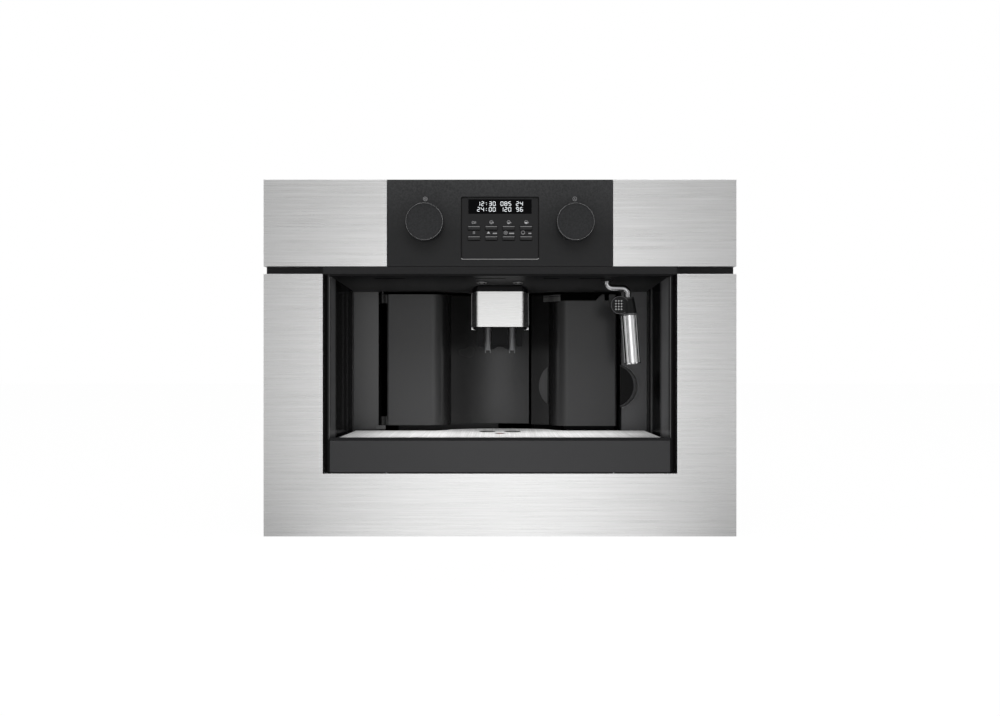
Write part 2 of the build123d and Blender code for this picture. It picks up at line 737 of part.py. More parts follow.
key_front = bezel_front - KEY_PROUD
for row, key_z in enumerate(KEY_ROWS):
    for column in range(KEY_COLUMNS):
        key_x = (column - (KEY_COLUMNS - 1) / 2) * KEY_PITCH
        with BuildPart() as key:
            bar(
                (key_x - KEY_WIDTH / 2, key_front, key_z - KEY_HEIGHT / 2),
                (key_x + KEY_WIDTH / 2, key_front + KEY_LENGTH, key_z + KEY_HEIGHT / 2),
            )
            face_edges = key.faces().sort_by(Axis.Y)[0].edges()
            chamfer(face_edges.sort_by(Axis.Z)[-1], length=KEY_PROUD * 0.8)
            chamfer(key.faces().sort_by(Axis.Y)[0].edges().sort_by(Axis.Z)[0], length=EDGE_ROUND)
        save(key, f"key_{row * KEY_COLUMNS + column + 1}")

for side, side_name in ((-1, "knob_left"), (1, "knob_right")):
    with BuildPart() as knob:
        knob_back = -FACE_DEPTH - KNOB_GAP
        with BuildSketch(upright(knob_back)):
            with Locations((side * KNOB_X, KNOB_Z)):
                Circle(KNOB_RADIUS)
        extrude(amount=KNOB_HEIGHT)
        fillet(knob.faces().sort_by(Axis.Y)[0].edges(), radius=2 * EDGE_ROUND)
        # shallow dish inside the rim
        with BuildSketch(upright(knob_back - KNOB_HEIGHT)):
            with Locations((side * KNOB_X, KNOB_Z)):
                Circle(KNOB_RADIUS - KNOB_RIM)
        extrude(amount=-KNOB_DISH, mode=Mode.SUBTRACT)
        with BuildSketch(upright(knob_back)):
            with Locations((side * KNOB_X, KNOB_Z)):
                Circle(SPINDLE_RADIUS)
        extrude(amount=-(board_front - SEAT_GAP - knob_back))
    save(knob, side_name)


# ---------------------------------------------------------------- deck and bay
cradle_top = TANK_BOTTOM - SEAT_GAP
guide_outer = BAY_HALF_FRONT + GUIDE_WALL
hinge_y = back(HINGE_DEPTH)


def cove_y(x, shift=0.0):
    """Y of the hollow's arc at an X, moved towards the room by shift."""
    return back(COVE_DEPTH - shift - cove_radius + sqrt(cove_radius**2 - x**2))


def contour(left, right, shift=0.0):
    """Plan line shared by door, tank cover, tray and grille, from left to right."""
    flat = back(FACE_PLANE - shift)
    edge_y = cove_y(COVE_EDGE_X, shift)
    if left < -BULGE_X:
        Line((left, flat), (-BULGE_X, flat))
        TangentArc((-BULGE_X, flat), (-COVE_EDGE_X, edge_y), tangent=(1, 0))
    start, end = max(left, -COVE_EDGE_X), min(right, COVE_EDGE_X)
    middle = (start + end) / 2
    ThreePointArc(
        (start, cove_y(start, shift)), (middle, cove_y(middle, shift)), (end, cove_y(end, shift))
    )
    if right > BULGE_X:
        TangentArc((BULGE_X, flat), (COVE_EDGE_X, edge_y), tangent=(-1, 0))
        Line((BULGE_X, flat), (right, flat))


with BuildPart() as inner_deck:
    bar(
        (SHEET - half_body, seat_y, DECK_TOP - DECK_PLATE),
        (half_body - SHEET, BODY_BACK - SHEET, DECK_TOP),
    )
    bar(
        (-guide_outer, frame_front + SEAT_GAP, DECK_TOP - DECK_PLATE),
        (guide_outer, seat_y, DECK_TOP),
    )
    # side guides of the tray, with a shelf on which the bay walls stand
    for side in (-1, 1):
        near, far = side * BAY_HALF_FRONT, side * guide_outer
        bar(
            (min(near, far), back(BAY_WALL_FRONT), DECK_TOP),
            (max(near, far), back(REAR_PANEL_DEPTH), GUIDE_TOP),
        )
        with BuildSketch(level(GUIDE_TOP - SHELF_THICK)):
            with BuildLine():
                Polyline(
                    (side * BAY_HALF_FRONT, back(BAY_WALL_FRONT)),
                    (side * guide_outer, back(BAY_WALL_FRONT)),
                    (side * guide_outer, back(REAR_PANEL_DEPTH)),
                    (side * BAY_HALF_REAR, back(REAR_PANEL_DEPTH)),
                    close=True,
                )
            make_face()
        extrude(amount=SHELF_THICK)
    # hollow cradle under the water tank
    bar(
        (CRADLE_LEFT, back(TANK_COVER_BACK), DECK_TOP),
        (TANK_RIGHT - CRADLE_WALL, back(TANK_BACK_DEPTH), cradle_top),
    )
    bar(
        (TANK_LEFT, back(TANK_STEP_DEPTH), DECK_TOP),
        (CRADLE_LEFT, back(TANK_BACK_DEPTH), cradle_top),
    )
    # three walls round the back of the tank
    shroud_front = back(DOOR_BACK_DEPTH) + DOOR_WALL
    shroud_top = CEILING_FRONT + CEILING_PLATE
    shroud_back = back(TANK_BACK_DEPTH) + PANEL_GAP + CRADLE_WALL
    bar(
        (TANK_LEFT - PANEL_GAP - CRADLE_WALL, shroud_front, DECK_TOP),
        (TANK_RIGHT + PANEL_GAP, shroud_back, shroud_top),
    )
    bar(
        (TANK_LEFT - PANEL_GAP, shroud_front, cradle_top),
        (TANK_RIGHT - CRADLE_WALL + PANEL_GAP, shroud_back - CRADLE_WALL, shroud_top),
        mode=Mode.SUBTRACT,
    )
    bar(
        (CRADLE_LEFT + CRADLE_WALL, back(TANK_COVER_BACK) + CRADLE_WALL, DECK_TOP),
        (TANK_RIGHT - 2 * CRADLE_WALL, back(TANK_BACK_DEPTH), cradle_top - CRADLE_WALL),
        mode=Mode.SUBTRACT,
    )
save(inner_deck, "inner_deck")

wall_foot = back(BAY_WALL_FRONT)
wall_end = back(REAR_PANEL_DEPTH)
for side, side_name in ((-1, "bay_side_left"), (1, "bay_side_right")):
    with BuildPart() as bay_side:
        with BuildSketch(level(GUIDE_TOP)):
            with BuildLine():
                Polyline(
                    (side * BAY_HALF_FRONT, wall_foot),
                    (side * (BAY_HALF_FRONT + BAY_WALL), wall_foot),
                    (side * (BAY_HALF_REAR + BAY_WALL), wall_end),
                    (side * BAY_HALF_REAR, wall_end),
                    close=True,
                )
            make_face()
        extrude(amount=LOWER_TOP - SEAT_GAP - GUIDE_TOP)
        fillet(bay_side.edges().filter_by(Axis.Z).group_by(Axis.Y)[0], radius=EDGE_ROUND)
    save(bay_side, side_name)

ceiling_tilt = degrees(atan2(CEILING_FRONT - CEILING_REAR, REAR_PANEL_DEPTH - BAY_WALL_FRONT))
slope_down = (0, -sin(radians(ceiling_tilt)), -cos(radians(ceiling_tilt)))


def ceiling_plane(x, depth):
    """Plane on the ceiling's underside, facing down."""
    return Plane(origin=(x, back(depth), ceiling_z(depth)), x_dir=(1, 0, 0), z_dir=slope_down)


with BuildPart() as bay_ceiling:
    with BuildSketch(Plane.YZ.offset(-BAY_HALF_FRONT)):
        with BuildLine():
            Polyline(
                (wall_foot, CEILING_FRONT),
                (wall_end, CEILING_REAR),
                (back(CEILING_BACK_DEPTH), CEILING_REAR),
                (back(CEILING_BACK_DEPTH), CEILING_REAR + CEILING_PLATE),
                (wall_end, CEILING_REAR + CEILING_PLATE),
                (wall_foot, CEILING_FRONT + CEILING_PLATE),
                close=True,
            )
        make_face()
    extrude(amount=2 * BAY_HALF_FRONT)
    with BuildSketch(level(CEILING_REAR)):
        with BuildLine():
            Polyline(
                (SEAT_GAP - BAY_HALF_FRONT, wall_foot),
                (BAY_HALF_FRONT - SEAT_GAP, wall_foot),
                (BAY_HALF_REAR - SEAT_GAP, wall_end),
                (BAY_HALF_REAR - SEAT_GAP, back(CEILING_BACK_DEPTH)),
                (SEAT_GAP - BAY_HALF_REAR, back(CEILING_BACK_DEPTH)),
                (SEAT_GAP - BAY_HALF_REAR, wall_end),
                close=True,
            )
        make_face()
    extrude(amount=CEILING_FRONT - CEILING_REAR + CEILING_PLATE, mode=Mode.INTERSECT)
    # band across the top of the bay
    bar(
        (SEAT_GAP - half_cutout, -FACE_DEPTH, LOWER_TOP),
        (half_cutout - SEAT_GAP, -FACE_DEPTH + BEZEL_THICK, UPPER_BOTTOM - PANEL_GAP),
    )
    for side in (-1, 1):
        with BuildSketch(ceiling_plane(side * LAMP_X, LAMP_DEPTH)):
            Circle(LAMP_RADIUS + LAMP_RING)
        extrude(amount=RING_RISE)
        with BuildSketch(ceiling_plane(side * LAMP_X, LAMP_DEPTH)):
            Circle(LAMP_RADIUS)
        extrude(amount=CEILING_PLATE, both=True, mode=Mode.SUBTRACT)
    socket_bottom = ceiling_z(WAND_DEPTH) - 2 * RING_RISE
    rod(WAND_X, back(WAND_DEPTH), socket_bottom, ceiling_z(WAND_DEPTH) + RING_RISE, 2 * WAND_TUBE)
    rod(
        WAND_X, back(WAND_DEPTH), socket_bottom, WAND_TOP, WAND_TUBE + PIN_PLAY, Mode.SUBTRACT
    )
    rod(
        HINGE_X, hinge_y, CEILING_REAR - CEILING_PLATE, CEILING_FRONT, HINGE_PIN + PIN_PLAY,
        Mode.SUBTRACT,
    )
save(bay_ceiling, "bay_ceiling")

with BuildPart() as lamp_lenses:
    for side in (-1, 1):
        with BuildSketch(ceiling_plane(side * LAMP_X, LAMP_DEPTH)):
            Circle(LAMP_RADIUS - PIN_PLAY)
        extrude(amount=-2 * RING_RISE)
save(lamp_lenses, "lamp_lenses")

with BuildPart() as bay_rear_left:
    bar(
        (-BAY_HALF_REAR, wall_end, DECK_TOP),
        (-REAR_PANEL_INNER, wall_end + BAY_WALL, CEILING_REAR),
    )
    bar(
        (-REAR_PANEL_INNER - BAY_WALL, wall_end, DECK_TOP),
        (-REAR_PANEL_INNER, wall_end + PANEL_RETURN, CEILING_REAR),
    )
    # bracket of the door's lower hinge
    bracket_bottom = DOOR_BOTTOM - SEAT_GAP - PIN_LUG_DROP
    bar(
        (-REAR_PANEL_INNER - BAY_WALL, hinge_y - KNUCKLE_RADIUS, bracket_bottom),
        (HINGE_X + KNUCKLE_RADIUS, wall_end + BAY_WALL, DOOR_BOTTOM - SEAT_GAP),
    )
    rod(
        HINGE_X, hinge_y, bracket_bottom, DOOR_BOTTOM, HINGE_PIN + PIN_PLAY, Mode.SUBTRACT
    )
save(bay_rear_left, "bay_rear_left")

with BuildPart() as bay_rear_right:
    bar(
        (REAR_PANEL_INNER, wall_end, DECK_TOP),
        (BAY_HALF_REAR, wall_end + BAY_WALL, CEILING_REAR),
    )
    bar(
        (REAR_PANEL_INNER, wall_end, DECK_TOP),
        (REAR_PANEL_INNER + BAY_WALL, wall_end + PANEL_RETURN, CEILING_REAR),
    )
    # round finger scoop beside the tank, cut short at the panel's edge
    with BuildSketch(upright(wall_end - RING_RISE)):
        with Locations((PANEL_SCOOP_X, SCOOP_Z)):
            Circle(PANEL_SCOOP_RADIUS + BAY_WALL)
    extrude(amount=-(PANEL_SCOOP_DEPTH + BAY_WALL + RING_RISE))
    with BuildSketch(upright(wall_end - RING_RISE)):
        with Locations((PANEL_SCOOP_X, SCOOP_Z)):
            Circle(PANEL_SCOOP_RADIUS)
    extrude(amount=-(PANEL_SCOOP_DEPTH + RING_RISE), mode=Mode.SUBTRACT)
    bar(
        (PANEL_SCOOP_X - 2 * PANEL_SCOOP_RADIUS, wall_end - 2 * RING_RISE, DECK_TOP),
        (REAR_PANEL_INNER, wall_end + 2 * PANEL_RETURN, CEILING_REAR),
        mode=Mode.SUBTRACT,
    )
save(bay_rear_right, "bay_rear_right")

with BuildPart() as hinge_pins:
    rod(HINGE_X, hinge_y, bracket_bottom, DOOR_BOTTOM + KNUCKLE_HEIGHT - SEAT_GAP, HINGE_PIN)
    rod(
        HINGE_X,
        hinge_y,
        DOOR_TOP - KNUCKLE_HEIGHT + SEAT_GAP,
        CEILING_REAR + CEILING_PLATE,
        HINGE_PIN,
    )
save(hinge_pins, "hinge_pins")


# ---------------------------------------------------------------- service door
with BuildPart() as service_door:
    with BuildSketch(level(DOOR_BOTTOM)):
        with BuildLine():
            contour(DOOR_LEFT, COVE_EDGE_X)
            Polyline(
                (COVE_EDGE_X, cove_y(COVE_EDGE_X)),
                (COVE_EDGE_X, back(DOOR_BACK_DEPTH)),
                (DOOR_LEFT, back(DOOR_BACK_DEPTH)),
                (DOOR_LEFT, back(FACE_PLANE)),
            )
        make_face()
        # the free edge is an arc about the hinge, so that it swings clear
        with Locations((HINGE_X, hinge_y)):
            Circle(DOOR_RADIUS, mode=Mode.INTERSECT)
    extrude(amount=DOOR_TOP - DOOR_BOTTOM)
    # pockets behind the bulge, with ribs left between them
    rib_rows = 3
    pocket_step = (DOOR_TOP - DOOR_BOTTOM - DOOR_WALL) / rib_rows
    for row in range(rib_rows):
        pocket_bottom = DOOR_BOTTOM + DOOR_WALL + row * pocket_step
        bar(
            (DOOR_LEFT + DOOR_WALL, back(FACE_PLANE + DOOR_WALL), pocket_bottom),
            (-BULGE_X, back(DOOR_BACK_DEPTH), pocket_bottom + pocket_step - DOOR_WALL),
            mode=Mode.SUBTRACT,
        )
    fillet(
        service_door.edges().filter_by(Axis.Z).group_by(Axis.Y)[0].sort_by(Axis.X)[0],
        radius=DOOR_WALL,
    )
    # hinge knuckles at the top and the bottom of the left edge
    for low in (DOOR_BOTTOM, DOOR_TOP - KNUCKLE_HEIGHT):
        bar(
            (HINGE_X, hinge_y - HINGE_PIN, low),
            (DOOR_LEFT + DOOR_WALL, hinge_y + KNUCKLE_RADIUS, low + KNUCKLE_HEIGHT),
        )
        rod(HINGE_X, hinge_y, low, low + KNUCKLE_HEIGHT, KNUCKLE_RADIUS)
        rod(
            HINGE_X, hinge_y, low, low + KNUCKLE_HEIGHT, HINGE_PIN + PIN_PLAY, Mode.SUBTRACT
        )
    # rail with a T section, on which the spout slides; it stands on the hollow's floor
    track_root = cove_y(0) + BAY_WALL
    track_face = back(COVE_DEPTH - TRACK_DEPTH)
    bar(
        (-TRACK_HALF + TRACK_LIP, track_face, TRACK_BOTTOM),
        (TRACK_HALF - TRACK_LIP, track_root, TRACK_TOP),
    )
    bar(
        (-TRACK_HALF, track_face, TRACK_BOTTOM),
        (TRACK_HALF, track_face + TRACK_LIP, TRACK_TOP),
    )
save(service_door, "service_door")


# ---------------------------------------------------------------- spout
def spout_plan(inset, back_depth):
    """Closed plan of the spout: flat front, flared sides, straight back."""
    front = back(SPOUT_FRONT_DEPTH + inset)
    shoulder = back(SPOUT_SIDE_DEPTH)
    half, side_half = SPOUT_FRONT_HALF - inset, SPOUT_SIDE_HALF - inset
    Polyline(
        (-half, front),
        (half, front),
        (side_half, shoulder),
        (side_half, back(back_depth)),
        (-side_half, back(back_depth)),
        (-side_half, shoulder),
        close=True,
    )


def spout_front_corners(sketch, radius):
    """Round the two front corners of a spout plan."""
    fillet(sketch.vertices().group_by(Axis.Y)[0], radius=radius)


with BuildPart() as spout_body:
    with BuildSketch(level(SPOUT_COVER_BOTTOM)) as block_plan:
        with BuildLine():
            spout_plan(SPOUT_SHEET, SPOUT_BACK_DEPTH)
        make_face()
        spout_front_corners(block_plan, SPOUT_ROUND - SPOUT_SHEET)
    extrude(amount=CEILING_FRONT - SPOUT_COVER_BOTTOM)
    bar(
        (-CARRIAGE_HALF, back(SPOUT_FRONT_DEPTH + 2 * SPOUT_ROUND), SPOUT_COVER_BOTTOM),
        (CARRIAGE_HALF, back(CARRIAGE_BACK_DEPTH), CEILING_FRONT),
    )
    # sloping top, parallel to the ceiling and just under it
    with BuildSketch(Plane.YZ.offset(-SPOUT_SIDE_HALF)):
        with BuildLine():
            Polyline(
                (wall_foot, CEILING_FRONT - SPOUT_CEILING_GAP),
                (wall_end, CEILING_REAR - SPOUT_CEILING_GAP),
                (back(CEILING_BACK_DEPTH), CEILING_REAR - SPOUT_CEILING_GAP),
                (back(CEILING_BACK_DEPTH), CEILING_FRONT + 1),
                (wall_foot, CEILING_FRONT + 1),
                close=True,
            )
        make_face()
    extrude(amount=2 * SPOUT_SIDE_HALF, mode=Mode.SUBTRACT)
    # the two coffee channels' outer legs, the block between them and its arched bridge
    for side in (-1, 1):
        near, far = side * LEG_INNER, side * LEG_OUTER
        bar(
            (min(near, far), back(LEG_FRONT_DEPTH), SPOUT_LEG_BOTTOM),
            (max(near, far), back(LEG_BACK_DEPTH), SPOUT_COVER_BOTTOM),
        )
    low_edges = spout_body.faces().sort_by(Axis.Z)[0:2].edges()
    fillet(low_edges.filter_by(Axis.Y), radius=2 * SPOUT_SHEET)
    bar(
        (-BLOCK_HALF, back(LEG_FRONT_DEPTH + SPOUT_ROUND), BLOCK_BOTTOM),
        (BLOCK_HALF, back(LEG_BACK_DEPTH - SPOUT_ROUND), SPOUT_COVER_BOTTOM),
    )
    bridge_half = NOZZLE_X - NOZZLE_RADIUS
    bar(
        (-bridge_half, back(NOZZLE_DEPTH - BRIDGE_THICK / 2), BRIDGE_BOTTOM),
        (bridge_half, back(NOZZLE_DEPTH + BRIDGE_THICK / 2), BRIDGE_TOP),
    )
    with BuildSketch(upright(back(NOZZLE_DEPTH - BRIDGE_THICK))):
        with Locations((0, ARCH_CENTRE)):
            Circle(ARCH_RADIUS)
    extrude(amount=-2 * BRIDGE_THICK, mode=Mode.SUBTRACT)
    # T-shaped slot that runs on the door's rail
    slot_half = TRACK_HALF + GUIDE_CLEARANCE
    neck_half = TRACK_HALF - TRACK_LIP + GUIDE_CLEARANCE
    bar(
        (-slot_half, track_face - GUIDE_CLEARANCE, SPOUT_LEG_BOTTOM),
        (slot_half, track_face + TRACK_LIP + GUIDE_CLEARANCE, CEILING_FRONT),
        mode=Mode.SUBTRACT,
    )
    bar(
        (-neck_half, track_face, SPOUT_LEG_BOTTOM),
        (neck_half, back(DOOR_BACK_DEPTH), CEILING_FRONT),
        mode=Mode.SUBTRACT,
    )
save(spout_body, "spout_body")

with BuildPart() as spout_cover:
    with BuildSketch(level(SPOUT_COVER_BOTTOM)) as cover_plan:
        with BuildLine():
            spout_plan(0, SPOUT_SIDE_DEPTH + SPOUT_SHEET)
        make_face()
        spout_front_corners(cover_plan, SPOUT_ROUND)
    extrude(amount=SPOUT_COVER_TOP - SPOUT_COVER_BOTTOM)
    with BuildSketch(level(SPOUT_COVER_BOTTOM)) as inner_plan:
        with BuildLine():
            spout_plan(SPOUT_SHEET, SPOUT_BACK_DEPTH)
        make_face()
        spout_front_corners(inner_plan, SPOUT_ROUND - SPOUT_SHEET)
    extrude(amount=SPOUT_COVER_TOP - SPOUT_COVER_BOTTOM, mode=Mode.SUBTRACT)
    # hooked lower ends of the flared sides
    for side in (-1, 1):
        outer = side * SPOUT_SIDE_HALF
        for reach, drop in ((SPOUT_SHEET, SPOUT_HOOK), (SPOUT_HOOK, SPOUT_SHEET)):
            inner = outer - side * reach
            bar(
                (min(inner, outer), back(SPOUT_SIDE_DEPTH), SPOUT_COVER_BOTTOM - SPOUT_HOOK),
                (
                    max(inner, outer),
                    back(SPOUT_SIDE_DEPTH + SPOUT_SHEET),
                    SPOUT_COVER_BOTTOM - SPOUT_HOOK + drop,
                ),
            )
save(spout_cover, "spout_cover")

with BuildPart() as spout_nozzles:
    for side in (-1, 1):
        x, y = side * NOZZLE_X, back(NOZZLE_DEPTH)
        rod(x, y, NOZZLE_BOTTOM, SPOUT_COVER_BOTTOM, NOZZLE_RADIUS)
        rod(x, y, NOZZLE_BOTTOM, SPOUT_COVER_BOTTOM, NOZZLE_BORE, Mode.SUBTRACT)
        for nub in (-1, 1):
            nub_x = x + nub * (NOZZLE_BORE + NOZZLE_RADIUS) / 2
            with Locations((nub_x, y, NOZZLE_BOTTOM - NUB_DROP / 2)):
                Cone(NUB_TIP, NUB_RADIUS, NUB_DROP)
save(spout_nozzles, "spout_nozzles")


# ---------------------------------------------------------------- water tank
tank_clear_radius = DOOR_RADIUS + DOOR_GAP
tank_step = TANK_STEP_X

with BuildPart() as tank_cover:
    with BuildSketch(level(TANK_BOTTOM)):
        with BuildLine():
            contour(0, TANK_RIGHT)
            Polyline(
                (TANK_RIGHT, back(FACE_PLANE)),
                (TANK_RIGHT, back(TANK_COVER_BACK)),
                (BULGE_X, back(TANK_COVER_BACK)),
                (tank_step, back(TANK_STEP_DEPTH)),
                (0, back(TANK_STEP_DEPTH)),
                (0, cove_y(0)),
            )
        make_face()
        # clear of the door's free edge as it swings
        with Locations((HINGE_X, hinge_y)):
            Circle(tank_clear_radius, mode=Mode.SUBTRACT)
    extrude(amount=TANK_TOP - TANK_BOTTOM)
    fillet(
        tank_cover.edges().filter_by(Axis.Z).sort_by(Axis.X)[-2:].sort_by(Axis.Y)[0],
        radius=DOOR_WALL,
    )
    # wide opening with a slanted end, and a narrow slot, in the top edge
    with BuildSketch(upright(back(FACE_PLANE))):
        with BuildLine():
            Polyline(
                (TANK_NOTCH_LEFT, TANK_NOTCH_TOP),
                (TANK_NOTCH_RIGHT, TANK_NOTCH_TOP),
                (TANK_NOTCH_RIGHT + TANK_TOP - TANK_NOTCH_TOP, TANK_TOP),
                (TANK_NOTCH_LEFT, TANK_TOP),
                close=True,
            )
        make_face()
        with Locations(
            ((TANK_SLOT_LEFT + TANK_SLOT_RIGHT) / 2, (TANK_NOTCH_TOP + TANK_TOP) / 2)
        ):
            Rectangle(TANK_SLOT_RIGHT - TANK_SLOT_LEFT, TANK_TOP - TANK_NOTCH_TOP)
    extrude(amount=FACE_PLANE - TANK_STEP_DEPTH, mode=Mode.SUBTRACT)
    # hollow from behind
    bar(
        (BULGE_X + DOOR_WALL, back(FACE_PLANE + DOOR_WALL), TANK_BOTTOM + DOOR_WALL),
        (TANK_RIGHT - DOOR_WALL, back(TANK_COVER_BACK), TANK_NOTCH_TOP - DOOR_WALL),
        mode=Mode.SUBTRACT,
    )
    # half-round finger scoop in the left return
    with BuildSketch(upright(back(FACE_PLANE))):
        with Locations((COVE_EDGE_X, SCOOP_Z)):
            Ellipse(SCOOP_WIDTH, SCOOP_RISE)
        with Locations((COVE_EDGE_X + SCOOP_WIDTH, SCOOP_Z)):
            Rectangle(2 * SCOOP_WIDTH, 2 * SCOOP_RISE, mode=Mode.SUBTRACT)
    extrude(amount=FACE_PLANE - SCOOP_FLOOR_DEPTH, mode=Mode.SUBTRACT)
save(tank_cover, "tank_cover")


def tank_plan(inset):
    """Closed plan of the water tank, inset by a wall."""
    Polyline(
        (TANK_LEFT + inset, back(TANK_STEP_DEPTH) + inset),
        (tank_step + inset, back(TANK_STEP_DEPTH) + inset),
        (BULGE_X + inset, back(TANK_COVER_BACK) + inset),
        (TANK_RIGHT - TANK_WALL - inset, back(TANK_COVER_BACK) + inset),
        (TANK_RIGHT - TANK_WALL - inset, back(TANK_BACK_DEPTH) - inset),
        (TANK_LEFT + inset, back(TANK_BACK_DEPTH) - inset),
        close=True,
    )


with BuildPart() as water_tank:
    with BuildSketch(level(TANK_BOTTOM)):
        with BuildLine():
            tank_plan(0)
        make_face()
    extrude(amount=TANK_BOX_TOP - TANK_BOTTOM)
    with BuildSketch(level(TANK_BOTTOM + TANK_WALL)):
        with BuildLine():
            tank_plan(TANK_WALL)
        make_face()
    extrude(amount=TANK_BOX_TOP - TANK_BOTTOM, mode=Mode.SUBTRACT)
save(water_tank, "water_tank")

with BuildPart() as tank_lid:
    with BuildSketch(level(TANK_BOX_TOP)):
        with BuildLine():
            tank_plan(0)
        make_face()
    extrude(amount=TANK_LID)
    with BuildSketch(level(TANK_BOX_TOP)):
        with BuildLine():
            tank_plan(TANK_WALL + SEAT_GAP)
        make_face()
    extrude(amount=-TANK_LID)
    with BuildSketch(level(TANK_BOX_TOP - TANK_LID)):
        with BuildLine():
            tank_plan(2 * TANK_WALL + SEAT_GAP)
        make_face()
    extrude(amount=TANK_LID, mode=Mode.SUBTRACT)
save(tank_lid, "tank_lid")


# ---------------------------------------------------------------- drip tray
tray_bottom = DECK_TOP + SEAT_GAP
tray_back_of_front = -FACE_DEPTH + TRAY_FRONT_THICK
tub_inner_front = tray_back_of_front + TUB_WALL


def tray_outline(front, front_half, rear_half, shift):
    """Closed plan of tray or grille: straight front, tapered sides, hollow rear."""
    flat = back(FACE_PLANE - shift)
    contour(-rear_half, rear_half, shift)
    Polyline(
        (rear_half, flat), (front_half, front), (-front_half, front), (-rear_half, flat)
    )


rim_front_half = BAY_HALF_FRONT - RIM_INSET
rim_rear_half = bay_half(FACE_PLANE) - RIM_INSET

with BuildPart() as drip_tray:
    with BuildSketch(level(tray_bottom)):
        with BuildLine():
            tray_outline(tray_back_of_front, TUB_HALF, TUB_HALF, TUB_SHIFT)
        make_face()
    extrude(amount=TUB_RIM_TOP - tray_bottom)
    with BuildSketch(level(TUB_RIM_TOP - TUB_RIM)):
        with BuildLine():
            tray_outline(tray_back_of_front, rim_front_half, rim_rear_half, GRILLE_COVE_GAP)
        make_face()
    extrude(amount=TUB_RIM)
    with BuildSketch(level(tray_bottom + TUB_FLOOR)):
        with BuildLine():
            tray_outline(
                tub_inner_front, TUB_HALF - TUB_WALL, TUB_HALF - TUB_WALL, TUB_SHIFT + TUB_WALL
            )
        make_face()
    extrude(amount=TUB_RIM_TOP, mode=Mode.SUBTRACT)
    # lip over the front plate, level with the grille
    bar(
        (-TRAY_HALF, -FACE_DEPTH, TRAY_FRONT_TOP + PANEL_GAP),
        (TRAY_HALF, tray_back_of_front, LIP_TOP),
    )
    # well in which the float stands
    well_y = back(FLOAT_DEPTH)
    well_radius = FLOAT_RADIUS + SEAT_GAP
    rod(0, well_y, tray_bottom, tray_bottom + WELL_HEIGHT, well_radius + WELL_WALL)
    rod(0, well_y, tray_bottom + TUB_FLOOR, TUB_RIM_TOP, well_radius, Mode.SUBTRACT)
save(drip_tray, "drip_tray")

with BuildPart() as tray_front:
    bar(
        (-TRAY_HALF, -FACE_DEPTH, TRAY_FRONT_BOTTOM),
        (TRAY_HALF, tray_back_of_front, TRAY_FRONT_TOP),
    )
    fillet(tray_front.faces().sort_by(Axis.Y)[0].edges(), radius=EDGE_ROUND)
save(tray_front, "tray_front")

grille_front = tub_inner_front + PANEL_GAP
skirt_top = LIP_TOP - GRILLE_SHEET

with BuildPart() as cup_grille:
    with BuildSketch(level(skirt_top)):
        with BuildLine():
            tray_outline(grille_front, GRILLE_FRONT_HALF, GRILLE_REAR_HALF, GRILLE_COVE_GAP)
        make_face()
    extrude(amount=GRILLE_SHEET)
    for inset, mode in ((0, Mode.ADD), (GRILLE_SHEET, Mode.SUBTRACT)):
        with BuildSketch(level(skirt_top - GRILLE_SKIRT)):
            skirt_half = TUB_HALF - TUB_WALL - SKIRT_INSET - inset
            with BuildLine():
                tray_outline(
                    grille_front + SKIRT_INSET + inset,
                    skirt_half,
                    skirt_half,
                    GRILLE_COVE_GAP + SKIRT_INSET + inset,
                )
            make_face()
        extrude(amount=GRILLE_SKIRT, mode=mode)
    for side in (-1, 1):
        rod(
            side * DRIP_HOLE_X, back(NOZZLE_DEPTH), skirt_top - 1, LIP_TOP, DRIP_HOLE,
            Mode.SUBTRACT,
        )
    rod(0, well_y, skirt_top - 1, LIP_TOP, FLOAT_HOLE, Mode.SUBTRACT)
save(cup_grille, "cup_grille")

with BuildPart() as tray_float:
    float_bottom = tray_bottom + TUB_FLOOR + SEAT_GAP
    rod(0, well_y, float_bottom, float_bottom + FLOAT_HEIGHT, FLOAT_RADIUS)
    rod(0, well_y, float_bottom, LIP_TOP - FLOAT_TIP_DROP, FLOAT_TIP)
save(tray_float, "tray_float")


# ---------------------------------------------------------------- steam wand
wand_y = back(WAND_DEPTH)
tilt = radians(WAND_TILT)
wand_down = (sin(tilt), 0, -cos(tilt))
grip_length = (GRIP_TOP - GRIP_BOTTOM) / cos(tilt)


def along_wand(distance):
    """Plane across the wand at a distance below the grip's top, facing down."""
    origin = (
        WAND_DROP_X + distance * sin(tilt),
        wand_y,
        GRIP_TOP - distance * cos(tilt),
    )
    return Plane(origin=origin, x_dir=(0, 1, 0), z_dir=wand_down)


with BuildPart() as wand_tube:
    with BuildLine(upright(wand_y)) as wand_path:
        FilletPolyline(
            (WAND_X, WAND_TOP),
            (WAND_X, WAND_ARM_Z),
            (WAND_DROP_X, WAND_ARM_Z - 1),
            (WAND_DROP_X, GRIP_TOP - WAND_BEND),
            radius=WAND_BEND,
        )
    with BuildSketch(level(WAND_TOP)):
        with Locations((WAND_X, wand_y)):
            Circle(WAND_TUBE)
    sweep()
    collar_bottom = ceiling_z(WAND_DEPTH - COLLAR_RADIUS) + CEILING_PLATE + SEAT_GAP
    rod(WAND_X, wand_y, collar_bottom, collar_bottom + COLLAR_THICK, COLLAR_RADIUS)
save(wand_tube, "wand_tube")

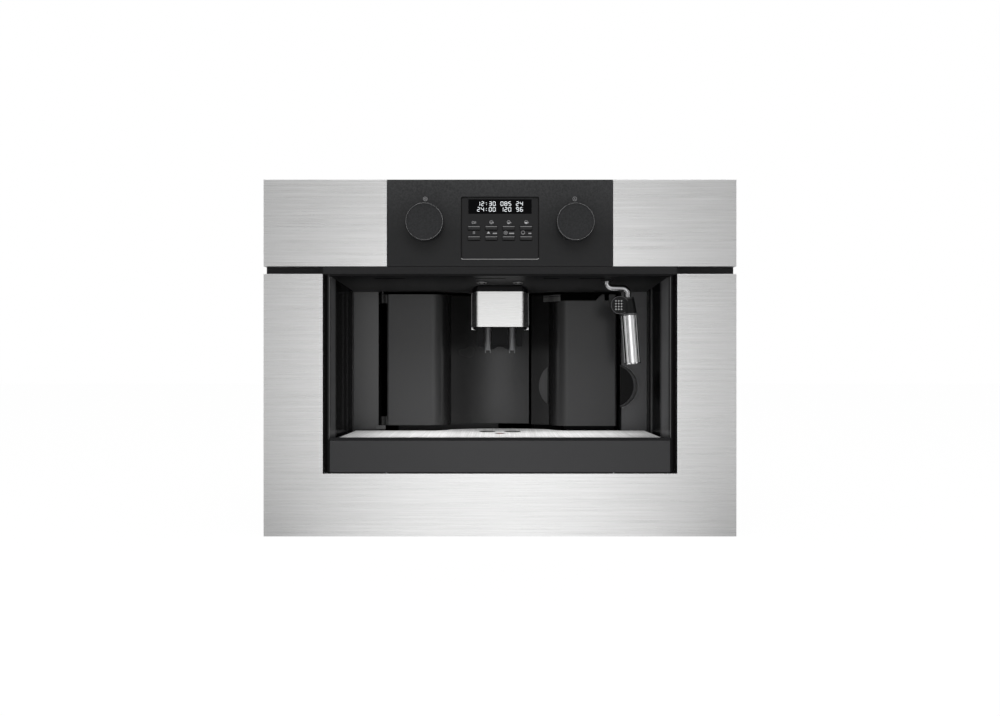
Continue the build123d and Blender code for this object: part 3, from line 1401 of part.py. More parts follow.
with BuildPart() as wand_grip:
    # round thumb pad on the left, with a chequered face
    with BuildSketch(upright(back(PAD_FRONT_DEPTH))):
        with Locations((PAD_X, PAD_Z)):
            Circle(PAD_RADIUS)
    extrude(amount=-PAD_THICK)
    fillet(wand_grip.edges().group_by(Axis.Y)[0], radius=EDGE_ROUND)
    with BuildSketch(upright(back(PAD_FRONT_DEPTH))):
        with Locations((PAD_X, PAD_Z)):
            with GridLocations(PAD_BUMP_PITCH, PAD_BUMP_PITCH, 4, 4):
                Rectangle(2 * PAD_BUMP, 2 * PAD_BUMP, rotation=45)
    extrude(amount=PAD_BUMP / 2)
    bar(
        (PAD_X, back(PAD_FRONT_DEPTH) + SHEET, PAD_Z - PAD_NECK / 2),
        (WAND_DROP_X, wand_y, PAD_Z + PAD_NECK / 2),
    )
    with BuildSketch(along_wand(0)):
        Circle(GRIP_TOP_RADIUS)
    with BuildSketch(along_wand(grip_length)):
        Circle(GRIP_RADIUS)
    loft()
    rod(WAND_DROP_X, wand_y, GRIP_TOP - WAND_BEND, CEILING_REAR, WAND_TUBE, Mode.SUBTRACT)
save(wand_grip, "wand_grip")

with BuildPart() as wand_sleeve:
    with BuildSketch(along_wand(grip_length)):
        Circle(SLEEVE_RADIUS)
    extrude(amount=SLEEVE_LENGTH)
    with BuildSketch(along_wand(grip_length + WAND_BEND)):
        Circle(SLEEVE_BORE)
    extrude(amount=SLEEVE_LENGTH, mode=Mode.SUBTRACT)
save(wand_sleeve, "wand_sleeve")


# ---------------------------------------------------------------- works inside
hopper_top = BODY_TOP - SHEET
pan_top = BODY_BOTTOM + SHEET

with BuildPart() as bean_hopper:
    with BuildSketch(level(HOPPER_BOTTOM)):
        with Locations((HOPPER_X, HOPPER_Y)):
            Rectangle(1.4 * GRINDER_RADIUS, 1.4 * GRINDER_RADIUS)
    with BuildSketch(level(hopper_top)):
        with Locations((HOPPER_X, HOPPER_Y)):
            Rectangle(HOPPER_WIDTH, HOPPER_LENGTH)
    loft()
    offset(amount=-HOPPER_WALL, openings=bean_hopper.faces().sort_by(Axis.Z)[-1])
    # cup for ground coffee, joined to the hopper's rim
    cup_half = FUNNEL_WIDTH / 2
    for inset, mode in ((0, Mode.ADD), (HOPPER_WALL, Mode.SUBTRACT)):
        bar(
            (FUNNEL_X - cup_half + inset, funnel_hole_y - cup_half + inset,
             hopper_top - FUNNEL_WIDTH + inset),
            (FUNNEL_X + cup_half - inset, funnel_hole_y + cup_half - inset,
             hopper_top + inset),
            mode=mode,
        )
    hopper_edge = HOPPER_X + HOPPER_WIDTH / 2
    bar(
        (hopper_edge - HOPPER_WALL, funnel_hole_y - cup_half, hopper_top - HOPPER_WALL),
        (FUNNEL_X - cup_half + HOPPER_WALL / 2, HOPPER_Y + HOPPER_LENGTH / 2, hopper_top),
    )
save(bean_hopper, "bean_hopper")

with BuildPart() as grind_dial:
    dial_bottom = BODY_TOP + SEAT_GAP
    rod(DIAL_X, DIAL_Y, dial_bottom, dial_bottom + DIAL_HEIGHT, DIAL_RADIUS)
    with Locations((DIAL_X, DIAL_Y, dial_bottom + DIAL_HEIGHT / 2)):
        with PolarLocations(DIAL_RADIUS + SCREW_SHANK / 2, 16):
            Cylinder(SCREW_SHANK, DIAL_HEIGHT, mode=Mode.SUBTRACT)
    rod(DIAL_X, DIAL_Y, dial_bottom - 2 * DIAL_HEIGHT, dial_bottom, DIAL_SPINDLE)
save(grind_dial, "grind_dial")

with BuildPart() as grinder:
    motor = 0.55 * GRINDER_RADIUS
    shoulder = HOPPER_BOTTOM - GRINDER_RADIUS
    turned(
        (HOPPER_X, HOPPER_Y, 0),
        [
            (GRINDER_RADIUS * 0.7, DECK_TOP),
            (GRINDER_RADIUS * 0.7, DECK_TOP + FLANGE_RISE),
            (motor, DECK_TOP + 2 * FLANGE_RISE),
            (motor, GRINDER_BOTTOM - 2 * FLANGE_RISE),
            (GRINDER_RADIUS - FLANGE_RISE, GRINDER_BOTTOM),
            (GRINDER_RADIUS - FLANGE_RISE, shoulder - 2 * FLANGE_RISE),
            (GRINDER_RADIUS, shoulder - 2 * FLANGE_RISE),
            (GRINDER_RADIUS, shoulder),
            (GRINDER_RADIUS * 0.7, HOPPER_BOTTOM),
        ],
    )
    # chute for the ground coffee, towards the brew unit
    with BuildSketch(
        Plane(
            origin=(HOPPER_X, HOPPER_Y, shoulder - GRINDER_RADIUS / 3),
            z_dir=(BREW_X - HOPPER_X, BREW_Y - HOPPER_Y, -CHUTE_RADIUS),
        )
    ):
        Circle(CHUTE_RADIUS)
    extrude(amount=GRINDER_RADIUS + CHUTE_RADIUS)
save(grinder, "grinder")

with BuildPart() as brew_unit:
    brew_base = DECK_TOP + 2 * BREW_RADIUS / 3
    rod_reach = BREW_RADIUS * 0.85
    rod_radius = BREW_RADIUS * 0.12
    yoke_top = BREW_TOP - BREW_RADIUS
    with BuildSketch(level(DECK_TOP)):
        with Locations((BREW_X, BREW_Y)):
            RectangleRounded(2 * BREW_RADIUS, 2 * BREW_RADIUS, BREW_RADIUS / 3)
    extrude(amount=brew_base - DECK_TOP)
    chamfer(brew_unit.faces().sort_by(Axis.Z)[-1].edges(), length=FLANGE_RISE)
    turned(
        (BREW_X, BREW_Y, 0),
        [
            (BREW_RADIUS * 0.5, DECK_TOP),
            (BREW_RADIUS * 0.5, brew_base + 2 * FLANGE_RISE),
            (BREW_RADIUS * 0.66, brew_base + 3 * FLANGE_RISE),
            (BREW_RADIUS * 0.66, yoke_top),
            (BREW_RADIUS * 0.8, yoke_top),
            (BREW_RADIUS * 0.8, BREW_TOP - 2 * FLANGE_RISE),
            (BREW_RADIUS * 0.7, BREW_TOP - FLANGE_RISE),
            (BREW_RADIUS * 0.3, BREW_TOP),
        ],
    )
    # two guide rods and the yoke that rides on them
    for side in (-1, 1):
        rod(
            BREW_X + side * rod_reach, BREW_Y, brew_base - FLANGE_RISE,
            yoke_top + 2 * FLANGE_RISE, rod_radius,
        )
    with BuildSketch(level(yoke_top - 3 * FLANGE_RISE)):
        with Locations((BREW_X, BREW_Y)):
            SlotCenterToCenter(2 * rod_reach, 4 * rod_radius)
    extrude(amount=3 * FLANGE_RISE)
save(brew_unit, "brew_unit")

with BuildPart() as grounds_container:
    for inset, mode in ((0, Mode.ADD), (HOPPER_WALL, Mode.SUBTRACT)):
        bar(
            (BOX_X - BOX_WIDTH / 2 + inset, back(BOX_FRONT_DEPTH) + inset, DECK_TOP + inset),
            (BOX_X + BOX_WIDTH / 2 - inset, back(BOX_FRONT_DEPTH) + BOX_LENGTH - inset,
             DECK_TOP + BOX_HEIGHT + inset),
            mode=mode,
        )
save(grounds_container, "grounds_container")

with BuildPart() as boiler:
    boiler_top = DECK_TOP + BOILER_HEIGHT
    boiler_joint = DECK_TOP + BOILER_HEIGHT / 2
    rod(BOILER_X, BOILER_Y, DECK_TOP, boiler_top, BOILER_RADIUS)
    fillet(boiler.faces().sort_by(Axis.Z)[-1].edges(), radius=BOILER_RADIUS / 2)
    # foot and the flanges where the two halves are bolted together
    for low, high in (
        (DECK_TOP, DECK_TOP + FLANGE_RISE),
        (boiler_joint - FLANGE_RISE, boiler_joint + FLANGE_RISE),
    ):
        rod(BOILER_X, BOILER_Y, low, high, BOILER_RADIUS + 2 * FLANGE_RISE)
    with Locations((BOILER_X, BOILER_Y, boiler_joint)):
        with PolarLocations(BOILER_RADIUS + FLANGE_RISE, 8):
            Cylinder(SCREW_SHANK, 5 * FLANGE_RISE)
    # outlet, safety valve and the probe's socket
    turned(
        (BOILER_X, BOILER_Y, boiler_top),
        [
            (WAND_BEND, -FLANGE_RISE),
            (WAND_BEND, FLANGE_RISE),
            (WAND_TUBE, FLANGE_RISE),
            (WAND_TUBE, 2 * WAND_BEND),
        ],
    )
    for side in (-1, 1):
        rod(
            BOILER_X + side * BOILER_RADIUS / 3, BOILER_Y, boiler_top - FLANGE_RISE,
            boiler_top + WAND_BEND, WAND_TUBE,
        )
save(boiler, "boiler")

with BuildPart() as water_pump:
    pump_z = pan_top + PUMP_RADIUS + SHEET
    half_length = PUMP_LENGTH / 2
    half_coil = COIL_LENGTH / 2
    turned(
        (PUMP_X, PUMP_Y, pump_z),
        [
            (WAND_TUBE, -half_length - 2 * WAND_BEND),
            (WAND_TUBE, -half_length),
            (PUMP_RADIUS * 0.5, -half_length),
            (PUMP_RADIUS * 0.6, -half_coil),
            (PUMP_RADIUS, -half_coil),
            (PUMP_RADIUS, FLANGE_RISE - half_coil),
            (PUMP_RADIUS * 0.85, FLANGE_RISE - half_coil),
            (PUMP_RADIUS * 0.85, half_coil - FLANGE_RISE),
            (PUMP_RADIUS, half_coil - FLANGE_RISE),
            (PUMP_RADIUS, half_coil),
            (PUMP_RADIUS * 0.7, half_coil),
            (PUMP_RADIUS * 0.55, half_length),
            (WAND_BEND, half_length),
            (WAND_BEND, half_length + WAND_BEND),
            (WAND_TUBE, half_length + 2 * WAND_BEND),
        ],
        direction=(0, 1, 0),
    )
    # two feet with rounded pads
    for side in (-1, 1):
        foot_y = PUMP_Y + side * (half_coil + WAND_BEND)
        with BuildSketch(upright(foot_y - FLANGE_RISE)):
            with Locations((PUMP_X, (pan_top + pump_z) / 2)):
                Rectangle(PUMP_RADIUS, pump_z - pan_top)
            with Locations((PUMP_X, pan_top + FLANGE_RISE)):
                Rectangle(2 * PUMP_RADIUS, 2 * FLANGE_RISE)
        extrude(amount=-2 * FLANGE_RISE)
save(water_pump, "water_pump")

with BuildPart() as power_board:
    board_z = pan_top + WAND_BEND
    board_top = board_z + BOARD_THICK
    power_x = HOPPER_X
    power_y = half_front / 2
    with BuildSketch(level(board_z)):
        with Locations((power_x, power_y)):
            RectangleRounded(POWER_WIDTH, POWER_LENGTH, CORNER)
    extrude(amount=BOARD_THICK)
    with Locations((power_x, power_y, (pan_top + board_z) / 2)):
        with GridLocations(POWER_WIDTH - WAND_BEND, POWER_LENGTH - WAND_BEND, 2, 2):
            Cylinder(DOOR_WALL, board_z - pan_top)
    # round capacitors at the front, finned heat sink at the back
    with Locations((power_x - POWER_WIDTH / 4, power_y - POWER_LENGTH / 3, board_top)):
        with GridLocations(3 * CAPACITOR_RADIUS, 1, 3, 1):
            Cylinder(
                CAPACITOR_RADIUS, 3 * CAPACITOR_RADIUS,
                align=(Align.CENTER, Align.CENTER, Align.MIN),
            )
    with Locations((power_x - POWER_WIDTH / 5, power_y + POWER_LENGTH / 5, board_top)):
        Box(
            FIN_LENGTH, POWER_LENGTH / 3, FLANGE_RISE,
            align=(Align.CENTER, Align.CENTER, Align.MIN),
        )
        with GridLocations((FIN_LENGTH - FIN_THICK) / (FIN_COUNT - 1), 1, FIN_COUNT, 1):
            Box(
                FIN_THICK, POWER_LENGTH / 3, FIN_HEIGHT,
                align=(Align.CENTER, Align.CENTER, Align.MIN),
            )
    # transformer: stacked core with its winding
    with Locations((power_x + POWER_WIDTH / 4, power_y, board_top)):
        Box(
            POWER_WIDTH / 4, POWER_LENGTH / 4, FIN_HEIGHT,
            align=(Align.CENTER, Align.CENTER, Align.MIN),
        )
    with BuildSketch(level(board_top + FLANGE_RISE)):
        with Locations((power_x + POWER_WIDTH / 4, power_y)):
            RectangleRounded(POWER_WIDTH / 6, POWER_LENGTH / 2, 2 * CORNER)
    extrude(amount=FIN_HEIGHT - 2 * FLANGE_RISE)
save(power_board, "power_board")

with BuildPart() as inlet_socket:
    with BuildSketch(upright(BODY_BACK)):
        with Locations((INLET_X, INLET_Z)):
            Rectangle(INLET_WIDTH, INLET_HEIGHT)
    extrude(amount=INLET_WIDTH)
    with BuildSketch(upright(BODY_BACK)):
        with Locations((INLET_X, INLET_Z)):
            RectangleRounded(INLET_WIDTH + 4 * SHEET, INLET_HEIGHT + 4 * SHEET, SHEET)
    extrude(amount=-SHEET)
    with BuildSketch(upright(BODY_BACK + SHEET)):
        with Locations((INLET_X, INLET_Z)):
            RectangleRounded(INLET_WIDTH - 2 * SHEET, INLET_HEIGHT - 2 * SHEET, CORNER)
    extrude(amount=INLET_WIDTH - SHEET, mode=Mode.SUBTRACT)
    # three flat contacts, the middle one raised
    with BuildSketch(upright(BODY_BACK)):
        for step, rise in ((-1, -CORNER / 2), (0, CORNER), (1, -CORNER / 2)):
            with Locations((INLET_X + step * WAND_BEND, INLET_Z + rise)):
                Rectangle(CORNER, 2 * CORNER)
    extrude(amount=INLET_WIDTH - SHEET)
save(inlet_socket, "inlet_socket")

with BuildPart() as case_screws:
    with BuildSketch(upright(BODY_BACK)):
        with Locations((0, (BODY_BOTTOM + BODY_TOP) / 2)):
            with GridLocations(*screw_grid):
                Circle(SCREW_RADIUS)
    extrude(amount=-SCREW_HEAD)
    with BuildSketch(upright(BODY_BACK)):
        with Locations((0, (BODY_BOTTOM + BODY_TOP) / 2)):
            with GridLocations(*screw_grid):
                Circle(SCREW_SHANK)
    extrude(amount=2 * SCREW_RADIUS)
save(case_screws, "case_screws")
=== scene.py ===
"""Looks of a built in coffee machine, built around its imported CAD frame.

Every size is in metres in the CAD frame: +X is the machine's right as seen from the room, +Y runs
into the cabinet and +Z is up. Each sub-assembly is a class that dresses its CAD nodes and adds its
small visible pieces, and each finish is a frozen dataclass.
"""

import logging
import math
from collections.abc import Callable, Iterable, Sequence
from dataclasses import dataclass, field
from enum import Enum
from functools import cache

import bmesh
import bpy
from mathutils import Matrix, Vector


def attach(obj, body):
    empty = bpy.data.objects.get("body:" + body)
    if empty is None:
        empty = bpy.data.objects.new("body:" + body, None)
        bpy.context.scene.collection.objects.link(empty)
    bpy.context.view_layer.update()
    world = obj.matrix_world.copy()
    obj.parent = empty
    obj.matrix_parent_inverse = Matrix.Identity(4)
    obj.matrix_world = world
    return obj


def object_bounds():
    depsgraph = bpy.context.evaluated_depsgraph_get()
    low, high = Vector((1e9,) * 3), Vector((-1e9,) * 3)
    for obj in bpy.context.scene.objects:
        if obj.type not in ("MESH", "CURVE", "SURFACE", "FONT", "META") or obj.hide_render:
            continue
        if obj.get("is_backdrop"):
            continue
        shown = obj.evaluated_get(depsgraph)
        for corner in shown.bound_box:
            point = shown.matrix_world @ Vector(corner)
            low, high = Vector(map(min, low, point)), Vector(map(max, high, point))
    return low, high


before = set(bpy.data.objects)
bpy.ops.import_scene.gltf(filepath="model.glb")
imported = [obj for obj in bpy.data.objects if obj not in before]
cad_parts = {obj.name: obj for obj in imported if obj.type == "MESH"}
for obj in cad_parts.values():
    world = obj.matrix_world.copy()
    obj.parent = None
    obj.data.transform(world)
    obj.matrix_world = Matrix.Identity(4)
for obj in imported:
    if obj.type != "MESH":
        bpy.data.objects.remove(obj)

log = logging.getLogger("coffee_machine")

MM = 0.001
FRONT_Y = -20 * MM
FRONT_WIDTH = 595 * MM
FRONT_HEIGHT = 449 * MM
CAMERA_DISTANCE = 1.0
CAMERA_LENS = 28.62
SENSOR_WIDTH = 36.0
CLIP_START = 0.01
SHARP_ANGLE = math.radians(32)
MERGE_DISTANCE = 1e-7
# a small plate's upper outline, as a share of its lower one
BEVEL_SHARE = 0.86
# the liquid drawn in a cup, as a share of the bowl
POURED_SHARE = 0.92
# turns a layout from the XY plane to face the room
WALL_TURN = (math.radians(90), 0.0, 0.0)
WHITE = (1.0, 1.0, 1.0)
# near black painted on the inside of the case as its shade
INSIDE_SHADE_BLACK = (0.004, 0.004, 0.004)
# painted shade in a hollow
HOLLOW_SHADE_BLACK = (0.001, 0.001, 0.001)
# painted shade in a gap
GAP_SHADE_BLACK = (0.006, 0.006, 0.006)

Colour = tuple[float, float, float]
Point = tuple[float, float, float]
Flat = tuple[float, float]
Ring = list[Point]
Input = "Val | float | str | Sequence[float]"


# ------------------------------------------------------------------ node maths
def math_node(operation: str, reflected: bool = False) -> Callable[..., "Val"]:
    """Return a method of Val that adds one Math node.

    Args:
        operation: the node's operation.
        reflected: put the value itself last.

    Returns:
        The method.
    """

    def method(value: "Val", *others: "Val | float") -> "Val":
        """Add the node to the value's own tree."""
        return value.owner.math(operation, *((*others, value) if reflected else (value, *others)))

    return method


class Val:
    """An output socket that takes part in Python expressions."""

    def __init__(self, owner: "Tree", socket: bpy.types.NodeSocket) -> None:
        """Keep the socket and the tree that it belongs to."""
        self.owner, self.socket = owner, socket

    __add__ = math_node("ADD")
    __radd__ = math_node("ADD", reflected=True)
    __sub__ = math_node("SUBTRACT")
    __rsub__ = math_node("SUBTRACT", reflected=True)
    __mul__ = math_node("MULTIPLY")
    __rmul__ = math_node("MULTIPLY", reflected=True)
    __truediv__ = math_node("DIVIDE")
    __rtruediv__ = math_node("DIVIDE", reflected=True)
    __pow__ = math_node("POWER")
    __gt__ = math_node("GREATER_THAN")
    __lt__ = math_node("LESS_THAN")
    __abs__ = math_node("ABSOLUTE")
    at_least = math_node("MAXIMUM")
    at_most = math_node("MINIMUM")

    def clamp(self) -> "Val":
        """Value kept between zero and one."""
        return self.at_least(0.0).at_most(1.0)


class Tree:
    """A node tree that is filled in from Python expressions."""

    def __init__(self, tree: bpy.types.NodeTree) -> None:
        """Empty the tree and keep it."""
        self.tree = tree
        tree.nodes.clear()

    def node(self, kind: str, inputs: dict | None = None, **settings: str) -> bpy.types.Node:
        """Add a node.

        Args:
            kind: the node's type.
            inputs: values or links by socket name or index.
            settings: the node's own properties.

        Returns:
            The new node.
        """
        node = self.tree.nodes.new(kind)
        for key, value in settings.items():
            setattr(node, key, value)
        for key, value in (inputs or {}).items():
            self.feed(node.inputs[key], value)
        return node

    def value(
        self, kind: str, inputs: dict | None = None, output: str | int = 0, **settings: str
    ) -> Val:
        """Add a node for the sake of one output.

        Args:
            kind: the node's type.
            inputs: values or links by socket name or index.
            output: the output's name or index.
            settings: the node's own properties.

        Returns:
            That output.
        """
        return Val(self, self.node(kind, inputs, **settings).outputs[output])

    def feed(self, socket: bpy.types.NodeSocket, value: Input) -> None:
        """Link or set one input socket.

        Args:
            socket: the socket.
            value: a link or a plain value; a colour has three parts.
        """
        if isinstance(value, Val):
            self.tree.links.new(value.socket, socket)
        else:
            socket.default_value = (*value, 1.0) if socket.type == "RGBA" else value

    def math(self, operation: str, *values: Val | float) -> Val:
        """Add a Math node for some values in order and return its result."""
        return self.value("ShaderNodeMath", dict(enumerate(values)), operation=operation)

    def rays(self) -> tuple[Val, Val]:
        """One for a ray that the camera sends, and one for a ray that a glossy surface sends."""
        path = self.node("ShaderNodeLightPath").outputs
        return Val(self, path["Is Camera Ray"]), Val(self, path["Is Glossy Ray"])

    def either(self, factor: Val, first: Val, second: Val) -> Val:
        """Blend two surfaces; a factor of zero gives the first."""
        return self.value("ShaderNodeMixShader", {0: factor, 1: first, 2: second})


class Shader(Tree):
    """The tree of one new material with a Principled surface."""

    def __init__(self, name: str) -> None:
        """Make the material under a name."""
        self.material = bpy.data.materials.new(name)
        self.material.use_nodes = True
        super().__init__(self.material.node_tree)
        self.principled = self.node("ShaderNodeBsdfPrincipled")
        self.surface = Val(self, self.principled.outputs[0])
        self.output = self.node("ShaderNodeOutputMaterial", {0: self.surface})
        self.coords = self.value("ShaderNodeTexCoord", output="Object")

    def axis(self, name: str) -> Val:
        """One object coordinate in metres."""
        return self.value("ShaderNodeSeparateXYZ", {0: self.coords}, name)

    def axis_mm(self, name: str) -> Val:
        """One object coordinate in millimetres."""
        return self.axis(name) * 1000.0

    def scaled(self, scale: Point) -> Val:
        """Object coordinates, stretched by a factor for each axis."""
        return self.value("ShaderNodeMapping", {"Vector": self.coords, "Scale": scale})

    def noise(self, scale: float, detail: float = 3.0, vector: Val | None = None) -> Val:
        """Noise from zero to one, with a scale in cycles for each metre."""
        inputs = {"Vector": vector or self.coords, "Scale": scale, "Detail": detail}
        return self.value("ShaderNodeTexNoise", inputs)

    def mix(self, factor: Val, first: Val | Colour, second: Val | Colour) -> Val:
        """Blend two colours; a factor of zero gives the first."""
        inputs = {0: factor, 6: first, 7: second}
        return self.value("ShaderNodeMix", inputs, 2, data_type="RGBA")

    def bump(self, height: Val, distance: float) -> Val:
        """Normal bumped by a height whose one stands for a distance in metres."""
        inputs = {"Height": height, "Distance": distance, "Strength": 1.0}
        return self.value("ShaderNodeBump", inputs)

    def set(self, **sockets: Input) -> None:
        """Feed the surface's sockets, named with underscores for spaces."""
        for key, value in sockets.items():
            self.feed(self.principled.inputs[key.replace("_", " ")], value)


# ------------------------------------------------------------------ finishes
class Grain(Enum):
    """Direction in which metal is brushed, as stretch factors of the streaks."""

    ALONG_X = (14.0, 900.0, 2200.0)
    ALONG_Y = (2200.0, 14.0, 900.0)
    ALONG_Z = (2200.0, 900.0, 14.0)


@dataclass(frozen=True)
class Finish:
    """Base of all finishes: a name and a colour."""

    name: str
    colour: Colour

    def tone(self, share: float) -> Colour:
        """The colour, made darker or lighter by a factor."""
        return tuple(min(1.0, part * share) for part in self.colour)

    def dress(self, shader: Shader) -> None:
        """Fill in the finish's shader."""
        raise NotImplementedError


@dataclass(frozen=True)
class BrushedMetal(Finish):
    """Sheet metal with fine parallel scratches."""

    grain: Grain = Grain.ALONG_X
    roughness: float = 0.3
    depth: float = 0.00003
    contrast: float = 0.10
    metal: float = 1.0
    broad_scale: float = 0.22
    fine_share: float = 0.65
    sharpness: float = 3.0
    gloss_range: float = 0.1

    def dress(self, shader: Shader) -> None:
        """Long streaks in colour, roughness and height.

        Args:
            shader: the shader to fill in.
        """
        fine = shader.noise(1.0, 4.0, shader.scaled(self.grain.value))
        broad = tuple(value * self.broad_scale for value in self.grain.value)
        coarse = shader.noise(1.0, 2.0, shader.scaled(broad))
        streak = fine * self.fine_share + coarse * (1 - self.fine_share)
        spread = ((streak - 0.5) * self.sharpness + 0.5).clamp()
        dark, light = self.tone(1 - self.contrast), self.tone(1 + self.contrast)
        shader.set(
            Base_Color=shader.mix(spread, dark, light),
            Metallic=self.metal,
            Roughness=(self.roughness - self.gloss_range / 2) + spread * self.gloss_range,
            Normal=shader.bump(streak, self.depth),
        )


@dataclass(frozen=True)
class SheetZinc(Finish):
    """Galvanised sheet with soft crystal patches; in front of a Y in millimetres it is painted
    black as shade inside the case.
    """

    roughness: float = 0.42
    shaded_inside_before: float = -1000.0
    crystal_scale: float = 90.0
    crystal_share: float = 0.7
    inside_shade_roughness: float = 0.4

    def dress(self, shader: Shader) -> None:
        """Crystal patches that differ in brightness and gloss, and the painted shade inside the
        case.

        Args:
            shader: the shader to fill in.
        """
        inputs = {"Vector": shader.coords, "Scale": self.crystal_scale}
        cells = shader.value("ShaderNodeTexVoronoi", inputs, "Color")
        patch = shader.value("ShaderNodeSeparateColor", {0: cells})
        smudge = shader.noise(14.0, 4.0)
        # painted shade: in front of a depth the sheet is painted black, where the inside of the
        # case is in shade
        shaded_inside = shader.axis_mm("Y") < self.shaded_inside_before
        bright = patch * self.crystal_share + smudge * (1 - self.crystal_share)
        zinc = shader.mix(bright, self.tone(0.78), self.colour)
        shader.set(
            Base_Color=shader.mix(shaded_inside, zinc, INSIDE_SHADE_BLACK),
            Metallic=1.0 - shaded_inside,
            Roughness=self.roughness - 0.08 + patch * 0.12 + smudge * 0.1
            + shaded_inside * self.inside_shade_roughness,
            Normal=shader.bump(shader.noise(700.0), 0.00002),
        )


@dataclass(frozen=True)
class Moulded(Finish):
    """Moulded plastic with a fine grain and faint handling marks."""

    roughness: float = 0.45
    grain_size: float = 2600.0
    grain_depth: float = 0.00003
    speckle: float = 0.12
    shine: float = 0.5
    grain_share: float = 0.8
    gloss_range: float = 0.08

    def shade(self, shader: Shader, base: Val) -> Val:
        """Change the colour in places; plain moulded plastic keeps it."""
        return base

    def dress(self, shader: Shader) -> None:
        """Fine grain in height, slow drift in colour and gloss.

        Args:
            shader: the shader to fill in.
        """
        grain = shader.noise(self.grain_size, 2.0)
        drift = shader.noise(9.0, 3.0)
        dark, light = self.tone(1 - self.speckle), self.tone(1 + self.speckle)
        spots = grain * self.grain_share + drift * (1 - self.grain_share)
        shader.set(
            Base_Color=self.shade(shader, shader.mix(spots, dark, light)),
            Roughness=(self.roughness - self.gloss_range / 2) + drift * self.gloss_range,
            Normal=shader.bump(grain, self.grain_depth),
            Specular_IOR_Level=self.shine,
        )


@dataclass(frozen=True)
class Scooped(Moulded):
    """Moulded plastic with painted light and shade in a finger scoop, a hollow and a gap.

    The scoop is a circle in the X-Z plane, in millimetres, painted in a shading colour of its own.
    Left of an edge the plastic is painted near black, as shade in the gap there. Painted shade
    darkens the hollow from its left X over a width, up to its right X less a width.
    """

    scoop: tuple[float, float, float] = (0.0, 0.0, 1.0)
    scoop_shading: Colour = (0.05, 0.05, 0.05)
    scoop_right: float = 1000.0
    gap_shade_left_of: float = -1000.0
    hollow: tuple[float, float, float, float] = (2000.0, 1.0, 3000.0, 1.0)
    hollow_shade_share: float = 0.74
    rim_sharpness: float = 1.5

    def shade(self, shader: Shader, base: Val) -> Val:
        """Paint light and shade in the scoop, shade in the hollow, and shade on the edge in the
        gap.

        Args:
            shader: the shader.
            base: the colour so far.

        Returns:
            The colour with the scoop in it.
        """
        x, z = shader.axis_mm("X"), shader.axis_mm("Z")
        mid_x, mid_z, radius = self.scoop
        away = ((x - mid_x) ** 2.0 + (z - mid_z) ** 2.0) ** 0.5
        inside = ((radius - away) * self.rim_sharpness).clamp() * (x < self.scoop_right)
        # the scoop's painted shading, half as strong in its middle
        middle = tuple(part * 0.5 for part in self.scoop_shading)
        scoop = shader.mix((away / radius).clamp(), middle, self.scoop_shading)
        # painted shade in the hollow, whose flanks face the dark bay
        left, rise, right, fall = self.hollow
        shade_in_hollow = ((x - left) / rise).clamp() * ((right - x) / fall).clamp()
        soft = shade_in_hollow * shade_in_hollow * (3.0 - shade_in_hollow * 2.0)
        with_hollow_shade = shader.mix(soft * self.hollow_shade_share, base, HOLLOW_SHADE_BLACK)
        shaded = shader.mix(inside, with_hollow_shade, scoop)
        # painted shade left of the edge, in the gap beside the door
        return shader.mix(x < self.gap_shade_left_of, shaded, GAP_SHADE_BLACK)


@dataclass(frozen=True)
class Tipped(Moulded):
    """Moulded plastic with a painted highlight in front of a Y and left of an X, in millimetres."""

    tip_y: float = 0.0
    tip_right: float = 0.0
    tip_highlight: Colour = (0.4, 0.4, 0.4)

    def shade(self, shader: Shader, base: Val) -> Val:
        """Paint highlights on the tips of the knurls."""
        tips = (shader.axis_mm("Y") < self.tip_y) * (shader.axis_mm("X") < self.tip_right)
        return shader.mix(tips, base, self.tip_highlight)


@dataclass(frozen=True)
class Zoned(Moulded):
    """Moulded plastic that is lighter above a height, in millimetres."""

    above_z: float = 0.0
    above_colour: Colour = (0.03, 0.03, 0.03)

    def shade(self, shader: Shader, base: Val) -> Val:
        """Lighten the upper zone."""
        return shader.mix(shader.axis_mm("Z") > self.above_z, base, self.above_colour)


@dataclass(frozen=True)
class ShadedDownward(Moulded):
    """Moulded plastic with painted shade that grows darker from one height down to another, in
    millimetres.
    """

    top_z: float = 1.0
    low_z: float = 0.0
    low_share: float = 0.5
    fall_share: float = 0.9

    def shade(self, shader: Shader, base: Val) -> Val:
        """Paint shade that darkens the colour towards the bottom."""
        fallen = ((self.top_z - shader.axis_mm("Z")) / (self.top_z - self.low_z)).clamp()
        return shader.mix(fallen * self.fall_share, base, self.tone(self.low_share))


@dataclass(frozen=True)
class PaintedLightBands(Moulded):
    """Glossy plastic with soft upright bands of painted reflection and light at set depths.

    Each band is its middle in Y and its half width, in millimetres, with a strength from 0 to 1.
    """

    # colour of the painted bands
    light: Colour = (0.05, 0.05, 0.05)
    bands: tuple[tuple[float, float, float], ...] = ()
    plateau: float = 1.8

    def shade(self, shader: Shader, base: Val) -> Val:
        """Add the bands of painted reflection and light.

        Args:
            shader: the shader.
            base: the colour so far.

        Returns:
            The colour with its bands.
        """
        y = shader.axis_mm("Y")
        mask = sum(
            (self.plateau - abs(y - middle) * (self.plateau / half)).clamp() * strength
            for middle, half, strength in self.bands
        )
        return shader.mix(mask.clamp(), base, self.light)


